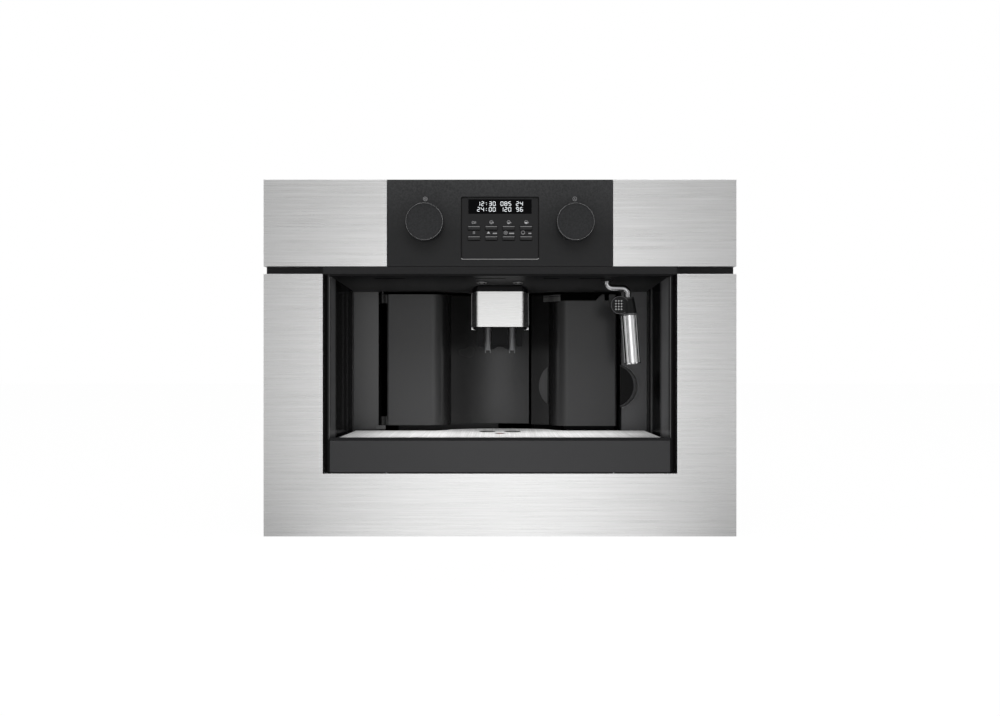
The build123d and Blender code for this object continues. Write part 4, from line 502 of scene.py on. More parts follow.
@dataclass(frozen=True)
class LitEdge(Finish):
    """Dark plastic with narrow upper or lower bands of painted highlight."""

    light: Colour = (0.3, 0.3, 0.3)
    bands: tuple[Flat, ...] = ()
    shine: float = 0.5
    roughness: float = 0.28

    def dress(self, shader: Shader) -> None:
        """Painted highlight: lighter colour in bands between two heights, given in millimetres.

        Args:
            shader: the shader to fill in.
        """
        height = shader.axis_mm("Z")
        mask = sum((height > low) * (height < high) for low, high in self.bands)
        grain = shader.noise(2200.0, 2.0)
        base = shader.mix(grain, self.tone(0.85), self.colour)
        shader.set(
            Base_Color=shader.mix(mask, base, self.light),
            Roughness=self.roughness + grain * 0.08,
            Normal=shader.bump(grain, 0.000005),
            Specular_IOR_Level=self.shine,
        )


@dataclass(frozen=True)
class Polished(Finish):
    """High-gloss plastic with the faint waves of a moulded shell."""

    roughness: float = 0.08
    wave: float = 0.00006

    def dress(self, shader: Shader) -> None:
        """Slow waves in height and light smears in gloss.

        Args:
            shader: the shader to fill in.
        """
        smear = shader.noise(1.0, 4.0, shader.scaled((20.0, 20.0, 5.0)))
        shader.set(
            Base_Color=shader.mix(smear, self.colour, self.tone(1.3)),
            Roughness=self.roughness + smear * 0.06,
            Normal=shader.bump(shader.noise(16.0, 1.0), self.wave),
        )


@dataclass(frozen=True)
class Chrome(Finish):
    """Polished plated metal."""

    roughness: float = 0.06
    wipe_scale: Point = (60.0, 60.0, 400.0)
    wipe_share: float = 0.94

    def dress(self, shader: Shader) -> None:
        """Mirror metal with faint wipe marks.

        Args:
            shader: the shader to fill in.
        """
        wipe = shader.noise(1.0, 4.0, shader.scaled(self.wipe_scale))
        shader.set(
            Base_Color=shader.mix(wipe, self.colour, self.tone(self.wipe_share)),
            Metallic=1.0,
            Roughness=self.roughness + wipe * 0.05,
        )


@dataclass(frozen=True)
class ChromeTube(Chrome):
    """Polished sleeve with bright and dark streaks of painted reflection along its tilted length.

    The axis is given by one point's X and Z in millimetres and its tilt. Each streak is its middle
    across the sleeve, from -1 to 1, and its half width.
    """

    axis_x: float = 0.0
    axis_z: float = 0.0
    tilt: float = 0.0
    radius: float = 10.0
    dark: Colour = (0.02, 0.02, 0.02)
    streaks: tuple[Flat, ...] = ()
    sharpness: float = 2.5
    metal: float = 0.55

    def dress(self, shader: Shader) -> None:
        """Painted reflections: streaks at set places across the sleeve.

        Args:
            shader: the shader to fill in.
        """
        x, z = shader.axis_mm("X"), shader.axis_mm("Z")
        across = (x - self.axis_x + (z - self.axis_z) * self.tilt) / self.radius
        wipe = shader.noise(1.0, 4.0, shader.scaled(self.wipe_scale))
        mask = sum(
            ((1.0 - abs(across - middle) / half) * self.sharpness).clamp()
            for middle, half in self.streaks
        )
        shader.set(
            Base_Color=shader.mix(mask.clamp(), self.colour, self.dark),
            Metallic=self.metal,
            Roughness=self.roughness + wipe * 0.06,
        )


@dataclass(frozen=True)
class Clear(Finish):
    """Smoky clear plastic."""

    roughness: float = 0.12
    alpha: float = 0.45

    def dress(self, shader: Shader) -> None:
        """See-through shell with a slight haze.

        Args:
            shader: the shader to fill in.
        """
        haze = shader.noise(30.0, 3.0)
        shader.set(
            Base_Color=shader.mix(haze, self.colour, self.tone(0.85)),
            Roughness=self.roughness + haze * 0.05,
            Alpha=self.alpha,
        )


@dataclass(frozen=True)
class Glow(Finish):
    """Lit segment of a display."""

    strength: float = 1.0
    roughness: float = 0.4

    def dress(self, shader: Shader) -> None:
        """Even light with a faint mottle.

        Args:
            shader: the shader to fill in.
        """
        mottle = shader.noise(400.0, 1.0)
        shader.set(
            Base_Color=self.colour,
            Emission_Color=shader.mix(mottle, self.tone(0.8), self.colour),
            Emission_Strength=self.strength,
            Roughness=self.roughness,
        )


@dataclass(frozen=True)
class CircuitBoard(Finish):
    """Green lacquered board with faint copper tracks."""

    track_scale: float = 160.0
    track_width: float = 0.04
    roughness: float = 0.35

    def dress(self, shader: Shader) -> None:
        """Track lines as raised, lighter stripes.

        Args:
            shader: the shader to fill in.
        """
        inputs = {
            "Vector": shader.coords, "Scale": self.track_scale, "Mortar Size": self.track_width
        }
        track = shader.value("ShaderNodeTexBrick", inputs, "Fac")
        shader.set(
            Base_Color=shader.mix(track, self.colour, self.tone(2.0)),
            Roughness=self.roughness,
            Normal=shader.bump(track, 0.00005),
        )


# ------------------------------------------------------------------ the machine's finishes
STEEL = BrushedMetal("steel_brushed", (0.93, 0.93, 0.925), roughness=0.3, contrast=0.16)
STEEL_GRILLE = BrushedMetal(
    "steel_grille", (0.95, 0.95, 0.94), Grain.ALONG_Y, 0.5, contrast=0.3, metal=0.25
)
STEEL_SPOUT = BrushedMetal("steel_spout", (0.69, 0.69, 0.685), roughness=0.3, contrast=0.14)
PIN_STEEL = BrushedMetal("steel_turned", (0.62, 0.62, 0.61), Grain.ALONG_Z, 0.28)
ZINC = SheetZinc("zinc_sheet", (0.58, 0.59, 0.60))
# the rear panel is painted black in front of Y 393 mm, as painted shade inside the case
ZINC_REAR = SheetZinc("zinc_rear", (0.58, 0.59, 0.60), shaded_inside_before=393.0)
RAIL_ZINC = BrushedMetal("zinc_rail", (0.66, 0.67, 0.68), Grain.ALONG_Y, 0.34)
# painted shade: the panel darkens towards the bottom, as if lit from above
PANEL_BLACK = ShadedDownward(
    "panel_black", (0.050, 0.0505, 0.052), 0.42, 520.0, 0.00002, 0.75, shine=0.14,
    top_z=449.0, low_z=380.0, low_share=0.45,
)
KNOB_BLACK = Moulded("knob_black", (0.030, 0.0305, 0.032), 0.4, 520.0, 0.00002, 0.7, shine=0.16)
BEZEL_BLACK = Moulded("bezel_black", (0.014, 0.014, 0.015), 0.38, 1800.0, 0.00001, shine=0.25)
# below the strip under the panel the frame is near black, as painted shade in the gaps round the
# bay; above it the strip has a lighter colour
FRAME_BLACK = Zoned(
    "frame_black", (0.002, 0.002, 0.002), 0.5, shine=0.08,
    above_z=329.5, above_colour=(0.026, 0.026, 0.027),
)
DECK_BLACK = Moulded("deck_black", (0.006, 0.006, 0.0065), 0.5, shine=0.08)
BODY_BLACK = Moulded("body_black", (0.016, 0.016, 0.017), 0.42)
SPOUT_BLACK = Moulded("spout_black", (0.005, 0.005, 0.0055), 0.42, shine=0.12)
DEEP_BLACK = Moulded("deep_black", (0.002, 0.002, 0.002), 0.6, shine=0.05)
# both bay walls: near black glossy plastic with upright bands of painted reflection
WALL_LEFT = PaintedLightBands(
    "wall_black_left", (0.0012, 0.0012, 0.0014), 0.22, 1200.0, 0.000002, shine=0.06,
    light=(0.105, 0.105, 0.107),
    bands=((-5.0, 16.0, 0.9), (40.0, 6.0, 0.12), (60.0, 5.0, 0.15), (94.0, 12.0, 0.6)),
)
WALL_RIGHT = PaintedLightBands(
    "wall_black_right", (0.0012, 0.0012, 0.0014), 0.22, 1200.0, 0.000002, shine=0.06,
    light=(0.15, 0.15, 0.153),
    bands=((5.0, 24.0, 1.0), (66.0, 6.0, 0.6), (82.0, 5.0, 0.25), (98.0, 12.0, 0.9)),
)
# the ceiling has bands of painted light, at its front edge and over the bay
CEILING_BLACK = PaintedLightBands(
    "ceiling_black", (0.010, 0.010, 0.0105), 0.45, shine=0.05, light=(0.036, 0.036, 0.037),
    bands=((-20.5, 3.0, 0.8), (85.0, 95.0, 1.0)),
)
PANEL_GREY = Moulded("panel_grey", (0.030, 0.030, 0.031), 0.24, 2200.0, 0.000006, shine=0.75)
# the door has painted shade in its hollow and in the gap at its hinge edge
DOOR_GREY = Scooped(
    "door_grey", (0.045, 0.045, 0.046), 0.26, 2200.0, 0.000006, shine=0.32,
    gap_shade_left_of=-158.0, hollow=(-93.0, 16.0, -6.0, 50.0),
)
# the tank cover has a painted highlight in its scoop and painted shade in its hollow
TANK_GREY = Scooped(
    "tank_grey", (0.034, 0.034, 0.035), 0.26, 2200.0, 0.000006, shine=0.32,
    scoop=(90.0, 185.0, 35.0), scoop_shading=(0.06, 0.06, 0.062), scoop_right=68.0,
    hollow=(10.0, 5.0, 96.0, 24.0),
)
# the right panel has painted shade in its scoop
SCOOP_GREY = Scooped(
    "scoop_grey", (0.115, 0.115, 0.118), 0.28, 2200.0, 0.000006, shine=0.12,
    scoop=(160.0, 185.0, 30.0), scoop_shading=(0.003, 0.003, 0.003),
)
TUBE_CHROME = Chrome("chrome_tube", (0.42, 0.42, 0.43), 0.16)
# lighter than the knobs, as a painted highlight on their rims
KNOB_RIM_HIGHLIGHT = Polished("knob_rim_highlight", (0.52, 0.52, 0.525), 0.25)
TRIM_STEEL = Moulded("trim_steel", (0.50, 0.50, 0.50), 0.3)
TRAY_BLACK = Moulded("tray_black", (0.010, 0.010, 0.011), 0.4, shine=0.2)
NOZZLE_GREY = Moulded("nozzle_grey", (0.17, 0.17, 0.175), 0.3)
# the keys carry painted highlights in narrow bands near their top edges
KEY_CAP = LitEdge(
    "key_cap", (0.020, 0.020, 0.021), (0.26, 0.26, 0.265),
    ((389.5, 390.9), (376.6, 378.0)), shine=0.3,
)
# the lip is near black as painted shade in the recess, with a painted highlight along its lower
# edge
EDGE_LIP = LitEdge(
    "edge_lip", (0.002, 0.002, 0.002), (0.62, 0.62, 0.62), ((348.0, 350.0),), shine=0.08
)
RIM_GREY = Moulded("rim_grey", (0.10, 0.10, 0.105), 0.22, 2600.0, 0.000004)
RING_GREY = Moulded("ring_grey", (0.10, 0.10, 0.10), 0.3)
# the thumb pad's knurls carry painted highlights on their front tips, at the left
GRIP_BLACK = Tipped(
    "grip_black", (0.007, 0.007, 0.0075), 0.35, 2600.0, 0.00001, shine=0.2,
    tip_y=1.9, tip_right=158.5, tip_highlight=(0.42, 0.42, 0.43),
)
FOAM = Moulded("foam_black", (0.014, 0.014, 0.015), 0.85, 900.0, 0.0003)
TRAY_FACE = Moulded("tray_face", (0.027, 0.027, 0.029), 0.36, 2200.0, 0.000008, 0.1)
MARK_LIGHT = Moulded("mark_light", (0.60, 0.60, 0.61), 0.5)
WINDOW_BLACK = Moulded("window_black", (0.0015, 0.0015, 0.002), 0.1, 1800.0, 0.000001, shine=0.05)
LENS_GREY = Moulded("lens_grey", (0.22, 0.22, 0.215), 0.3)
FLOAT_RED = Moulded("float_red", (0.45, 0.03, 0.02), 0.4)
MARK_GREY = Moulded("mark_grey", (0.42, 0.42, 0.43), 0.5)
CHROME = Chrome("chrome", (0.86, 0.86, 0.87))
# the sleeve's streaks are painted reflections
CHROME_BANDS = ChromeTube(
    "chrome_sleeve", (0.95, 0.95, 0.96), 0.12, axis_x=166.9, axis_z=280.0, tilt=0.0734, radius=10.3,
    streaks=((-0.86, 0.08), (-0.52, 0.05), (-0.38, 0.03), (0.42, 0.04), (0.62, 0.08), (0.90, 0.08)),
)
BOILER_STEEL = BrushedMetal("steel_drawn", (0.55, 0.55, 0.54), Grain.ALONG_Z, 0.34)
PUMP_GREY = Moulded("pump_grey", (0.20, 0.21, 0.22), 0.4)
TANK_CLEAR = Clear("clear_smoke", (0.30, 0.33, 0.34))
BOARD_GREEN = CircuitBoard("board_green", (0.012, 0.075, 0.035))
SEGMENT_WHITE = Glow("segment_white", (0.75, 0.78, 0.80), strength=0.9)


@cache
def material(finish: Finish) -> bpy.types.Material:
    """Build a finish's material, the first time it is asked for."""
    shader = Shader(finish.name)
    finish.dress(shader)
    return shader.material


def coat(mesh: bpy.types.Mesh, finish: Finish) -> None:
    """Make a finish the only material of a mesh."""
    mesh.materials.clear()
    mesh.materials.append(material(finish))


def dress(finish: Finish, *nodes: str) -> None:
    """Give CAD nodes their finish.

    Args:
        finish: the finish.
        nodes: the nodes' names.
    """
    for node in nodes:
        coat(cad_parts[node].data, finish)
        log.info("dressed %s in %s", node, finish.name)


# ------------------------------------------------------------------ mesh making
def piece_of(
    name: str, mesh: bpy.types.Mesh, finish: Finish, body: str
) -> bpy.types.Object:
    """Put a finished mesh in the scene and let it ride on a body.

    Args:
        name: the piece's name.
        mesh: its mesh, already in place.
        finish: its finish.
        body: the CAD body it moves with.

    Returns:
        The new object.
    """
    thing = bpy.data.objects.new(name, mesh)
    bpy.context.scene.collection.objects.link(thing)
    coat(mesh, finish)
    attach(thing, body)
    log.info("made %s on %s", name, body)
    return thing


def swept(name: str, solids: Iterable[Sequence[Ring]], closed: bool = False) -> bpy.types.Mesh:
    """Join rings of points by quads.

    Args:
        name: the mesh's name.
        solids: for each solid its rings, with equal counts of points.
        closed: join the last ring to the first, instead of capping both.

    Returns:
        The mesh of all solids.
    """
    work = bmesh.new()
    for rings in solids:
        made = [[work.verts.new(point) for point in points] for points in rings]
        for low, high in zip(made, made[1:] + made[:1] if closed else made[1:]):
            for index in range(len(low)):
                after = (index + 1) % len(low)
                work.faces.new((low[index], low[after], high[after], high[index]))
        if not closed:
            work.faces.new(made[0])
            work.faces.new(list(reversed(made[-1])))
    bmesh.ops.remove_doubles(work, verts=work.verts, dist=MERGE_DISTANCE)
    bmesh.ops.recalc_face_normals(work, faces=work.faces)
    for face in work.faces:
        face.smooth = True
    for edge in work.edges:
        if len(edge.link_faces) == 2 and edge.calc_face_angle(0.0) > SHARP_ANGLE:
            edge.smooth = False
    mesh = bpy.data.meshes.new(name)
    work.to_mesh(mesh)
    work.free()
    return mesh


def capped(
    name: str, solids: Iterable[Sequence[Ring]], finish: Finish, body: str
) -> None:
    """Add a piece of solids that are swept through rings and capped at both ends."""
    piece_of(name, swept(name, solids), finish, body)


def looped(
    name: str, solids: Iterable[Sequence[Ring]], finish: Finish, body: str
) -> None:
    """Add a piece of solids whose last ring is joined to the first."""
    piece_of(name, swept(name, solids, closed=True), finish, body)


def in_mm(points: Iterable[Flat]) -> list[Flat]:
    """Scale flat points from millimetres to metres."""
    return [(first * MM, second * MM) for first, second in points]


def level(outline: Iterable[Flat], height: float) -> Ring:
    """Lay an X-Y outline at a height."""
    return [(x, y, height) for x, y in outline]


def upright(outline: Iterable[Flat], depth: float) -> Ring:
    """Stand an X-Z outline at a depth."""
    return [(x, depth, z) for x, z in outline]


def circle(radius: float, count: int) -> list[Flat]:
    """Points on a circle round zero."""
    turns = [math.tau * index / count for index in range(count)]
    return [(radius * math.cos(turn), radius * math.sin(turn)) for turn in turns]


def ring(centre: Point, radius: float, count: int = 32) -> Ring:
    """Points on a level circle."""
    return [(centre[0] + x, centre[1] + y, centre[2]) for x, y in circle(radius, count)]


def bead(centre: Point, radius: float, thick: float, count: int) -> list[Ring]:
    """Return the rings of a bead round a Y axis.

    Args:
        centre: the middle.
        radius: from the middle to the bead's own middle.
        thick: half the bead's thickness.
        count: points round.

    Returns:
        The rings.
    """
    x, y, z = centre
    rings = []
    for out, back in circle(thick, 8):
        outline = circle(radius + out, count)
        rings.append([(x + across, y + back, z + up) for across, up in outline])
    return rings


def rounded(width: float, height: float, radius: float, centre: Flat, steps: int = 5) -> list[Flat]:
    """Return a rounded rectangle's outline.

    Args:
        width: full width.
        height: full height.
        radius: corner radius.
        centre: its middle.
        steps: points for each corner.

    Returns:
        The outline.
    """
    points = []
    for sign_x, sign_z, start in ((1, 1, 0.0), (-1, 1, 0.25), (-1, -1, 0.5), (1, -1, 0.75)):
        middle_x = centre[0] + sign_x * (width / 2 - radius)
        middle_z = centre[1] + sign_z * (height / 2 - radius)
        for step in range(steps + 1):
            turn = math.tau * (start + 0.25 * step / steps)
            points.append((middle_x + radius * math.cos(turn), middle_z + radius * math.sin(turn)))
    return points


def flat_profile(name: str, outline: Sequence[Flat], thick: float) -> bpy.types.Mesh:
    """Plate in the XY plane that faces +Z, with a bevelled edge."""
    inner = [(x * BEVEL_SHARE, y * BEVEL_SHARE) for x, y in outline]
    return swept(name, [[level(outline, 0.0), level(outline, thick * 0.7), level(inner, thick)]])


def turned_profile(name: str, profile: Iterable[Flat], count: int = 24) -> bpy.types.Mesh:
    """Turned shape that faces +Z, through pairs of a radius and a height."""
    return swept(name, [[level(circle(radius, count), height) for radius, height in profile]])


# ------------------------------------------------------------------ room
@dataclass
class Room:
    """Pale floor, white backdrop, soft studio lights and the camera."""

    floor_colour: Colour = (0.92, 0.92, 0.915)
    floor_wear: float = 0.985
    floor_half: float = 6.0
    floor_depth: float = -0.001
    floor_lift: float = 0.045
    floor_side: float = 8.0
    floor_dark: float = -0.6
    floor_seen: float = 0.92
    floor_mirrored: float = 0.85
    grey: float = 0.42
    wall_white: float = 1.22
    wall_dark: float = 0.36
    fall_up: float = 1.3
    fall_side: float = 6.4

    def build(self) -> None:
        """Make everything round the object."""
        self.floor()
        self.world()
        self.lights()
        self.camera()

    def floor(self) -> None:
        """Pale floor that keeps the object's shadow and looks white to the camera."""
        mesh = bpy.data.meshes.new("floor")
        signs = ((-1, -1), (1, -1), (1, 1), (-1, 1))
        corners = [(self.floor_half * across, self.floor_half * along) for across, along in signs]
        mesh.from_pydata(level(corners, self.floor_depth), [], [(0, 1, 2, 3)])
        floor = bpy.data.objects.new("floor", mesh)
        bpy.context.scene.collection.objects.link(floor)
        shader = Shader("floor_pale")
        worn = tuple(part * self.floor_wear for part in self.floor_colour)
        shade = shader.mix(shader.noise(3.0, 2.0), self.floor_colour, worn)
        shader.set(Base_Color=shade, Roughness=0.7)
        seen, mirrored = shader.rays()
        # the floor that metal mirrors falls off to the sides as the wall does
        away = 1.0 + abs(shader.axis("Y"))
        aside = shader.axis("X") / away
        fall = aside * aside * (0.5 + 0.5 / away) * -self.floor_side
        # the lift makes up for the small share of the floor that stays shaded
        strength = 1.0 + seen * self.floor_lift + mirrored * fall.at_least(self.floor_dark)
        white = shader.value("ShaderNodeEmission", {"Color": WHITE, "Strength": strength})
        share = seen * self.floor_seen + mirrored * self.floor_mirrored
        blend = shader.either(share, shader.surface, white)
        shader.feed(shader.output.inputs[0], blend)
        mesh.materials.append(shader.material)
        floor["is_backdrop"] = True

    def world(self) -> None:
        """White to the camera, soft grey to the object."""
        world = bpy.data.worlds.new("room")
        bpy.context.scene.world = world
        world.use_nodes = True
        tree = Tree(world.node_tree)
        seen, mirrored = tree.rays()
        way = tree.value("ShaderNodeTexCoord", output="Generated")
        x, z = (tree.value("ShaderNodeSeparateXYZ", {0: way}, name) for name in "XZ")
        # metal sees a wall that is white at floor level and darker above and to the sides
        strength = self.wall_white - z * self.fall_up - x * x * self.fall_side
        strength = strength.at_least(self.wall_dark).at_most(1.0)
        grey = tree.value("ShaderNodeBackground", {"Color": (self.grey,) * 3})
        wall = tree.value("ShaderNodeBackground", {"Strength": strength})
        white = tree.value("ShaderNodeBackground", {"Color": WHITE})
        blend = tree.either(seen, tree.either(mirrored, grey, wall), white)
        tree.node("ShaderNodeOutputWorld", {0: blend})

    def lights(self) -> None:
        """Soft boxes: one broad in front, one above, a narrow one at each side."""
        self.soft_box("front_box", (0.0, -2.6, 0.25), (0.0, 0.0, 0.15), (1.0, 0.5), 1.8)
        self.soft_box("top_box", (0.0, -1.7, 2.3), (0.0, 0.0, 0.2), (2.4, 1.2), 20.0)
        self.soft_box("left_box", (-1.7, -1.1, 0.5), (0.0, 0.0, 0.2), (0.3, 1.2), 2.0)
        self.soft_box("right_box", (1.7, -1.1, 0.5), (0.0, 0.0, 0.2), (0.3, 1.2), 2.0)
        # the bay's own lamps, over the cup grille
        self.soft_box("bay_lamp", (0.0, 0.03, 0.318), (0.0, 0.03, 0.0), (0.34, 0.04), 0.13, 1.0)

    def soft_box(
        self, name: str, place: Point, aim: Point, size: Flat, watts: float, spread: float = math.pi
    ) -> None:
        """Add one rectangular light.

        Args:
            name: the light's name.
            place: where it stands.
            aim: the point that it faces.
            size: width and height.
            watts: power.
            spread: how wide it shines, in radians.
        """
        light = bpy.data.lights.new(name, "AREA")
        light.spread = spread
        light.shape = "RECTANGLE"
        light.size, light.size_y = size
        light.energy = watts
        holder = bpy.data.objects.new(name, light)
        bpy.context.scene.collection.objects.link(holder)
        holder.location = place
        turn = (Vector(aim) - Vector(place)).to_track_quat("-Z", "Y")
        holder.rotation_euler = turn.to_euler()

    def camera(self) -> None:
        """Camera straight in front, level with the middle of the machine."""
        lens = bpy.data.cameras.new("camera")
        lens.lens = CAMERA_LENS
        lens.sensor_width = SENSOR_WIDTH
        lens.clip_start = CLIP_START
        holder = bpy.data.objects.new("camera", lens)
        bpy.context.scene.collection.objects.link(holder)
        holder.location = (0.0, FRONT_Y - CAMERA_DISTANCE, FRONT_HEIGHT / 2)
        holder.rotation_euler = (math.radians(90), 0.0, 0.0)
        bpy.context.scene.camera = holder
        bpy.context.scene.view_settings.view_transform = "Standard"


# ------------------------------------------------------------------ repeated small pieces
class Layout(Enum):
    """How a repeated piece is laid out."""

    GRID = "grid"
    RING = "ring"
    POINTS = "points"


@dataclass(frozen=True)
class Repeat:
    """Geometry Nodes tree that sets copies of one profile in a layout.

    The profile lies in its own XY plane and faces +Z. The layout is made in the same plane, then
    turned and moved as a whole. Each point is its X, its Y and its copy's turn.
    """

    name: str
    layout: Layout
    centre: Point = (0.0, 0.0, 0.0)
    turn: Point = WALL_TURN
    columns: int = 2
    rows: int = 2
    pitch_across: float = 0.01
    pitch_up: float = 0.01
    count: int = 12
    radius: float = 0.01
    points: tuple[Point, ...] = ()

    def place(self, profile: bpy.types.Mesh, finish: Finish, body: str, slot: str) -> None:
        """Grow the copies and put them in the scene as one piece.

        Args:
            profile: the mesh that is repeated.
            finish: the finish of the copies.
            body: the CAD body they move with.
            slot: not used.
        """
        piece_of(self.name, self.grow(profile, finish), finish, body)

    def grow(self, profile: bpy.types.Mesh, finish: Finish) -> bpy.types.Mesh:
        """Run the tree and return its result as a plain mesh.

        Args:
            profile: the mesh that is repeated.
            finish: the finish of the copies.

        Returns:
            The mesh of all copies, in place.
        """
        cloud = bpy.data.meshes.new(f"{self.name}_points")
        cloud.from_pydata([(x, y, 0.0) for x, y, _ in self.points] or [(0, 0, 0)], [], [])
        turns = cloud.attributes.new("turn", "FLOAT", "POINT")
        for index, (_, _, angle) in enumerate(self.points):
            turns.data[index].value = angle
        carrier = bpy.data.objects.new(f"{self.name}_carrier", cloud)
        pattern = bpy.data.objects.new(f"{self.name}_profile", profile)
        for helper in (carrier, pattern):
            bpy.context.scene.collection.objects.link(helper)
        sockets = (
            ("Geometry", "NodeSocketGeometry", None),
            ("Profile", "NodeSocketObject", pattern),
            ("Material", "NodeSocketMaterial", material(finish)),
            ("Centre", "NodeSocketVector", self.centre),
            ("Turn", "NodeSocketRotation", self.turn),
            ("Columns", "NodeSocketInt", self.columns),
            ("Rows", "NodeSocketInt", self.rows),
            ("Pitch Across", "NodeSocketFloat", self.pitch_across),
            ("Pitch Up", "NodeSocketFloat", self.pitch_up),
            ("Count", "NodeSocketInt", self.count),
            ("Radius", "NodeSocketFloat", self.radius),
        )
        group = bpy.data.node_groups.new(f"{self.name}_tree", "GeometryNodeTree")
        face = group.interface
        keys = [
            face.new_socket(name=label, in_out="INPUT", socket_type=kind).identifier
            for label, kind, _ in sockets
        ]
        face.new_socket(name="Geometry", in_out="OUTPUT", socket_type="NodeSocketGeometry")
        self.fill(Tree(group))
        modifier = carrier.modifiers.new("repeat", "NODES")
        modifier.node_group = group
        for key, (_, _, value) in zip(keys, sockets):
            if value is not None:
                modifier[key] = value
        graph = bpy.context.evaluated_depsgraph_get()
        mesh = bpy.data.meshes.new_from_object(carrier.evaluated_get(graph))
        mesh.name = self.name
        carrier.modifiers.remove(modifier)
        for helper in (carrier, pattern):
            bpy.data.objects.remove(helper)
        return mesh

    def fill(self, tree: Tree) -> None:
        """Add and link the tree's nodes.

        Args:
            tree: the empty tree with its interface.
        """
        outputs = tree.node("NodeGroupInput").outputs
        given = {socket.name: Val(tree, socket) for socket in outputs if socket.name}
        points, angle = self.source(tree, given)
        turn = tree.value("ShaderNodeCombineXYZ", {"Z": angle})
        shape = tree.value("GeometryNodeObjectInfo", {"Object": given["Profile"]}, "Geometry")
        inputs = {"Points": points, "Instance": shape, "Rotation": turn}
        copies = tree.value("GeometryNodeInstanceOnPoints", inputs)
        real = tree.value("GeometryNodeRealizeInstances", {0: copies})
        inputs = {"Geometry": real, "Translation": given["Centre"], "Rotation": given["Turn"]}
        moved = tree.value("GeometryNodeTransform", inputs)
        inputs = {"Geometry": moved, "Material": given["Material"]}
        tree.node("NodeGroupOutput", {0: tree.value("GeometryNodeSetMaterial", inputs)})

    def source(self, tree: Tree, given: dict[str, Val]) -> tuple[Val, Val | float]:
        """Make the layout's points and the copies' turn about +Z.

        Args:
            tree: the tree.
            given: its inputs by name.

        Returns:
            The points, and the angle at each.
        """
        if self.layout is Layout.GRID:
            columns, rows = given["Columns"], given["Rows"]
            inputs = {
                "Size X": (columns - 1.0) * given["Pitch Across"],
                "Size Y": (rows - 1.0) * given["Pitch Up"],
                "Vertices X": columns,
                "Vertices Y": rows,
            }
            return tree.value("GeometryNodeMeshGrid", inputs, "Mesh"), 0.0
        if self.layout is Layout.RING:
            inputs = {"Vertices": given["Count"], "Radius": given["Radius"]}
            angle = tree.value("GeometryNodeInputIndex") * (math.tau / self.count)
            return tree.value("GeometryNodeMeshCircle", inputs, "Mesh"), angle
        angle = tree.value("GeometryNodeInputNamedAttribute", {"Name": "turn"}, "Attribute")
        return given["Geometry"], angle


# ------------------------------------------------------------------ line drawings for marks
@dataclass
class Drawing:
    """Thin raised marks drawn with strokes on the machine's front."""

    front: float
    thick: float = 0.12 * MM
    width: float = 0.42 * MM
    shapes: list[list[Ring]] = field(default_factory=list)

    def fill(self, outline: Sequence[Flat]) -> None:
        """Draw a filled shape in the X-Z plane."""
        self.shapes.append([upright(outline, y) for y in (self.front - self.thick, self.front)])

    def stroke(self, *points: Flat) -> None:
        """Draw straight strokes through points in the X-Z plane."""
        for (x_a, z_a), (x_b, z_b) in zip(points, points[1:]):
            share = self.width / 2 / (math.hypot(x_b - x_a, z_b - z_a) or 1e-9)
            off_x, off_z = -(z_b - z_a) * share, (x_b - x_a) * share
            near = [(x_a + off_x, z_a + off_z), (x_b + off_x, z_b + off_z)]
            self.fill(near + [(x_b - off_x, z_b - off_z), (x_a - off_x, z_a - off_z)])

    def arc(self, centre: Flat, radius: float, start: float, end: float, steps: int = 14) -> None:
        """Draw an arc.

        Args:
            centre: its middle.
            radius: in metres.
            start: first angle in degrees.
            end: last angle in degrees.
            steps: number of strokes.
        """
        points = []
        for step in range(steps + 1):
            angle = math.radians(start + (end - start) * step / steps)
            across, up = radius * math.cos(angle), radius * math.sin(angle)
            points.append((centre[0] + across, centre[1] + up))
        self.stroke(*points)

    def circle(self, x: float, z: float, radius: float, steps: int) -> None:
        """Draw a whole circle."""
        self.arc((x, z), radius, 0, 360, steps)

    def cup(self, x: float, z: float, size: float, level_share: float) -> None:
        """Draw a cup that is filled up to a level.

        Args:
            x: middle.
            z: middle.
            size: full width of the bowl.
            level_share: zero is empty and one is full.
        """
        half, rim = size / 2, z + size * 0.21
        self.stroke((x - half, rim), (x + half, rim))
        self.arc((x, rim), half, 180, 360)
        self.arc((x + half + size * 0.08, z + size * 0.042), size * 0.16, -100, 100, 8)
        reach, steps = math.acos(1.0 - level_share), 10
        angles = [2 * reach * step / steps - math.pi / 2 - reach for step in range(steps + 1)]
        inner = half * POURED_SHARE
        self.fill([(x + inner * math.cos(turn), rim + inner * math.sin(turn)) for turn in angles])

    def place(self, name: str, finish: Finish) -> None:
        """Put the drawing on the machine as one piece."""
        capped(name, self.shapes, finish, "machine")


# segments of each figure, in the usual letters
SEGMENTS = {
    "0": "abcdef", "1": "bc", "2": "abged", "3": "abgcd", "4": "fgbc",
    "5": "afgcd", "6": "afgedc", "7": "abc", "8": "abcdefg", "9": "abcfgd",
}
# each segment's place across and up, in half figures, and its turn in degrees
SEGMENT_PLACES = {
    "a": (0, 1, 0), "d": (0, -1, 0), "g": (0, 0, 0),
    "f": (-1, 0.5, 90), "b": (1, 0.5, 90), "e": (-1, -0.5, 90), "c": (1, -0.5, 90),
}
SIDES = ((-1, "left"), (1, "right"))


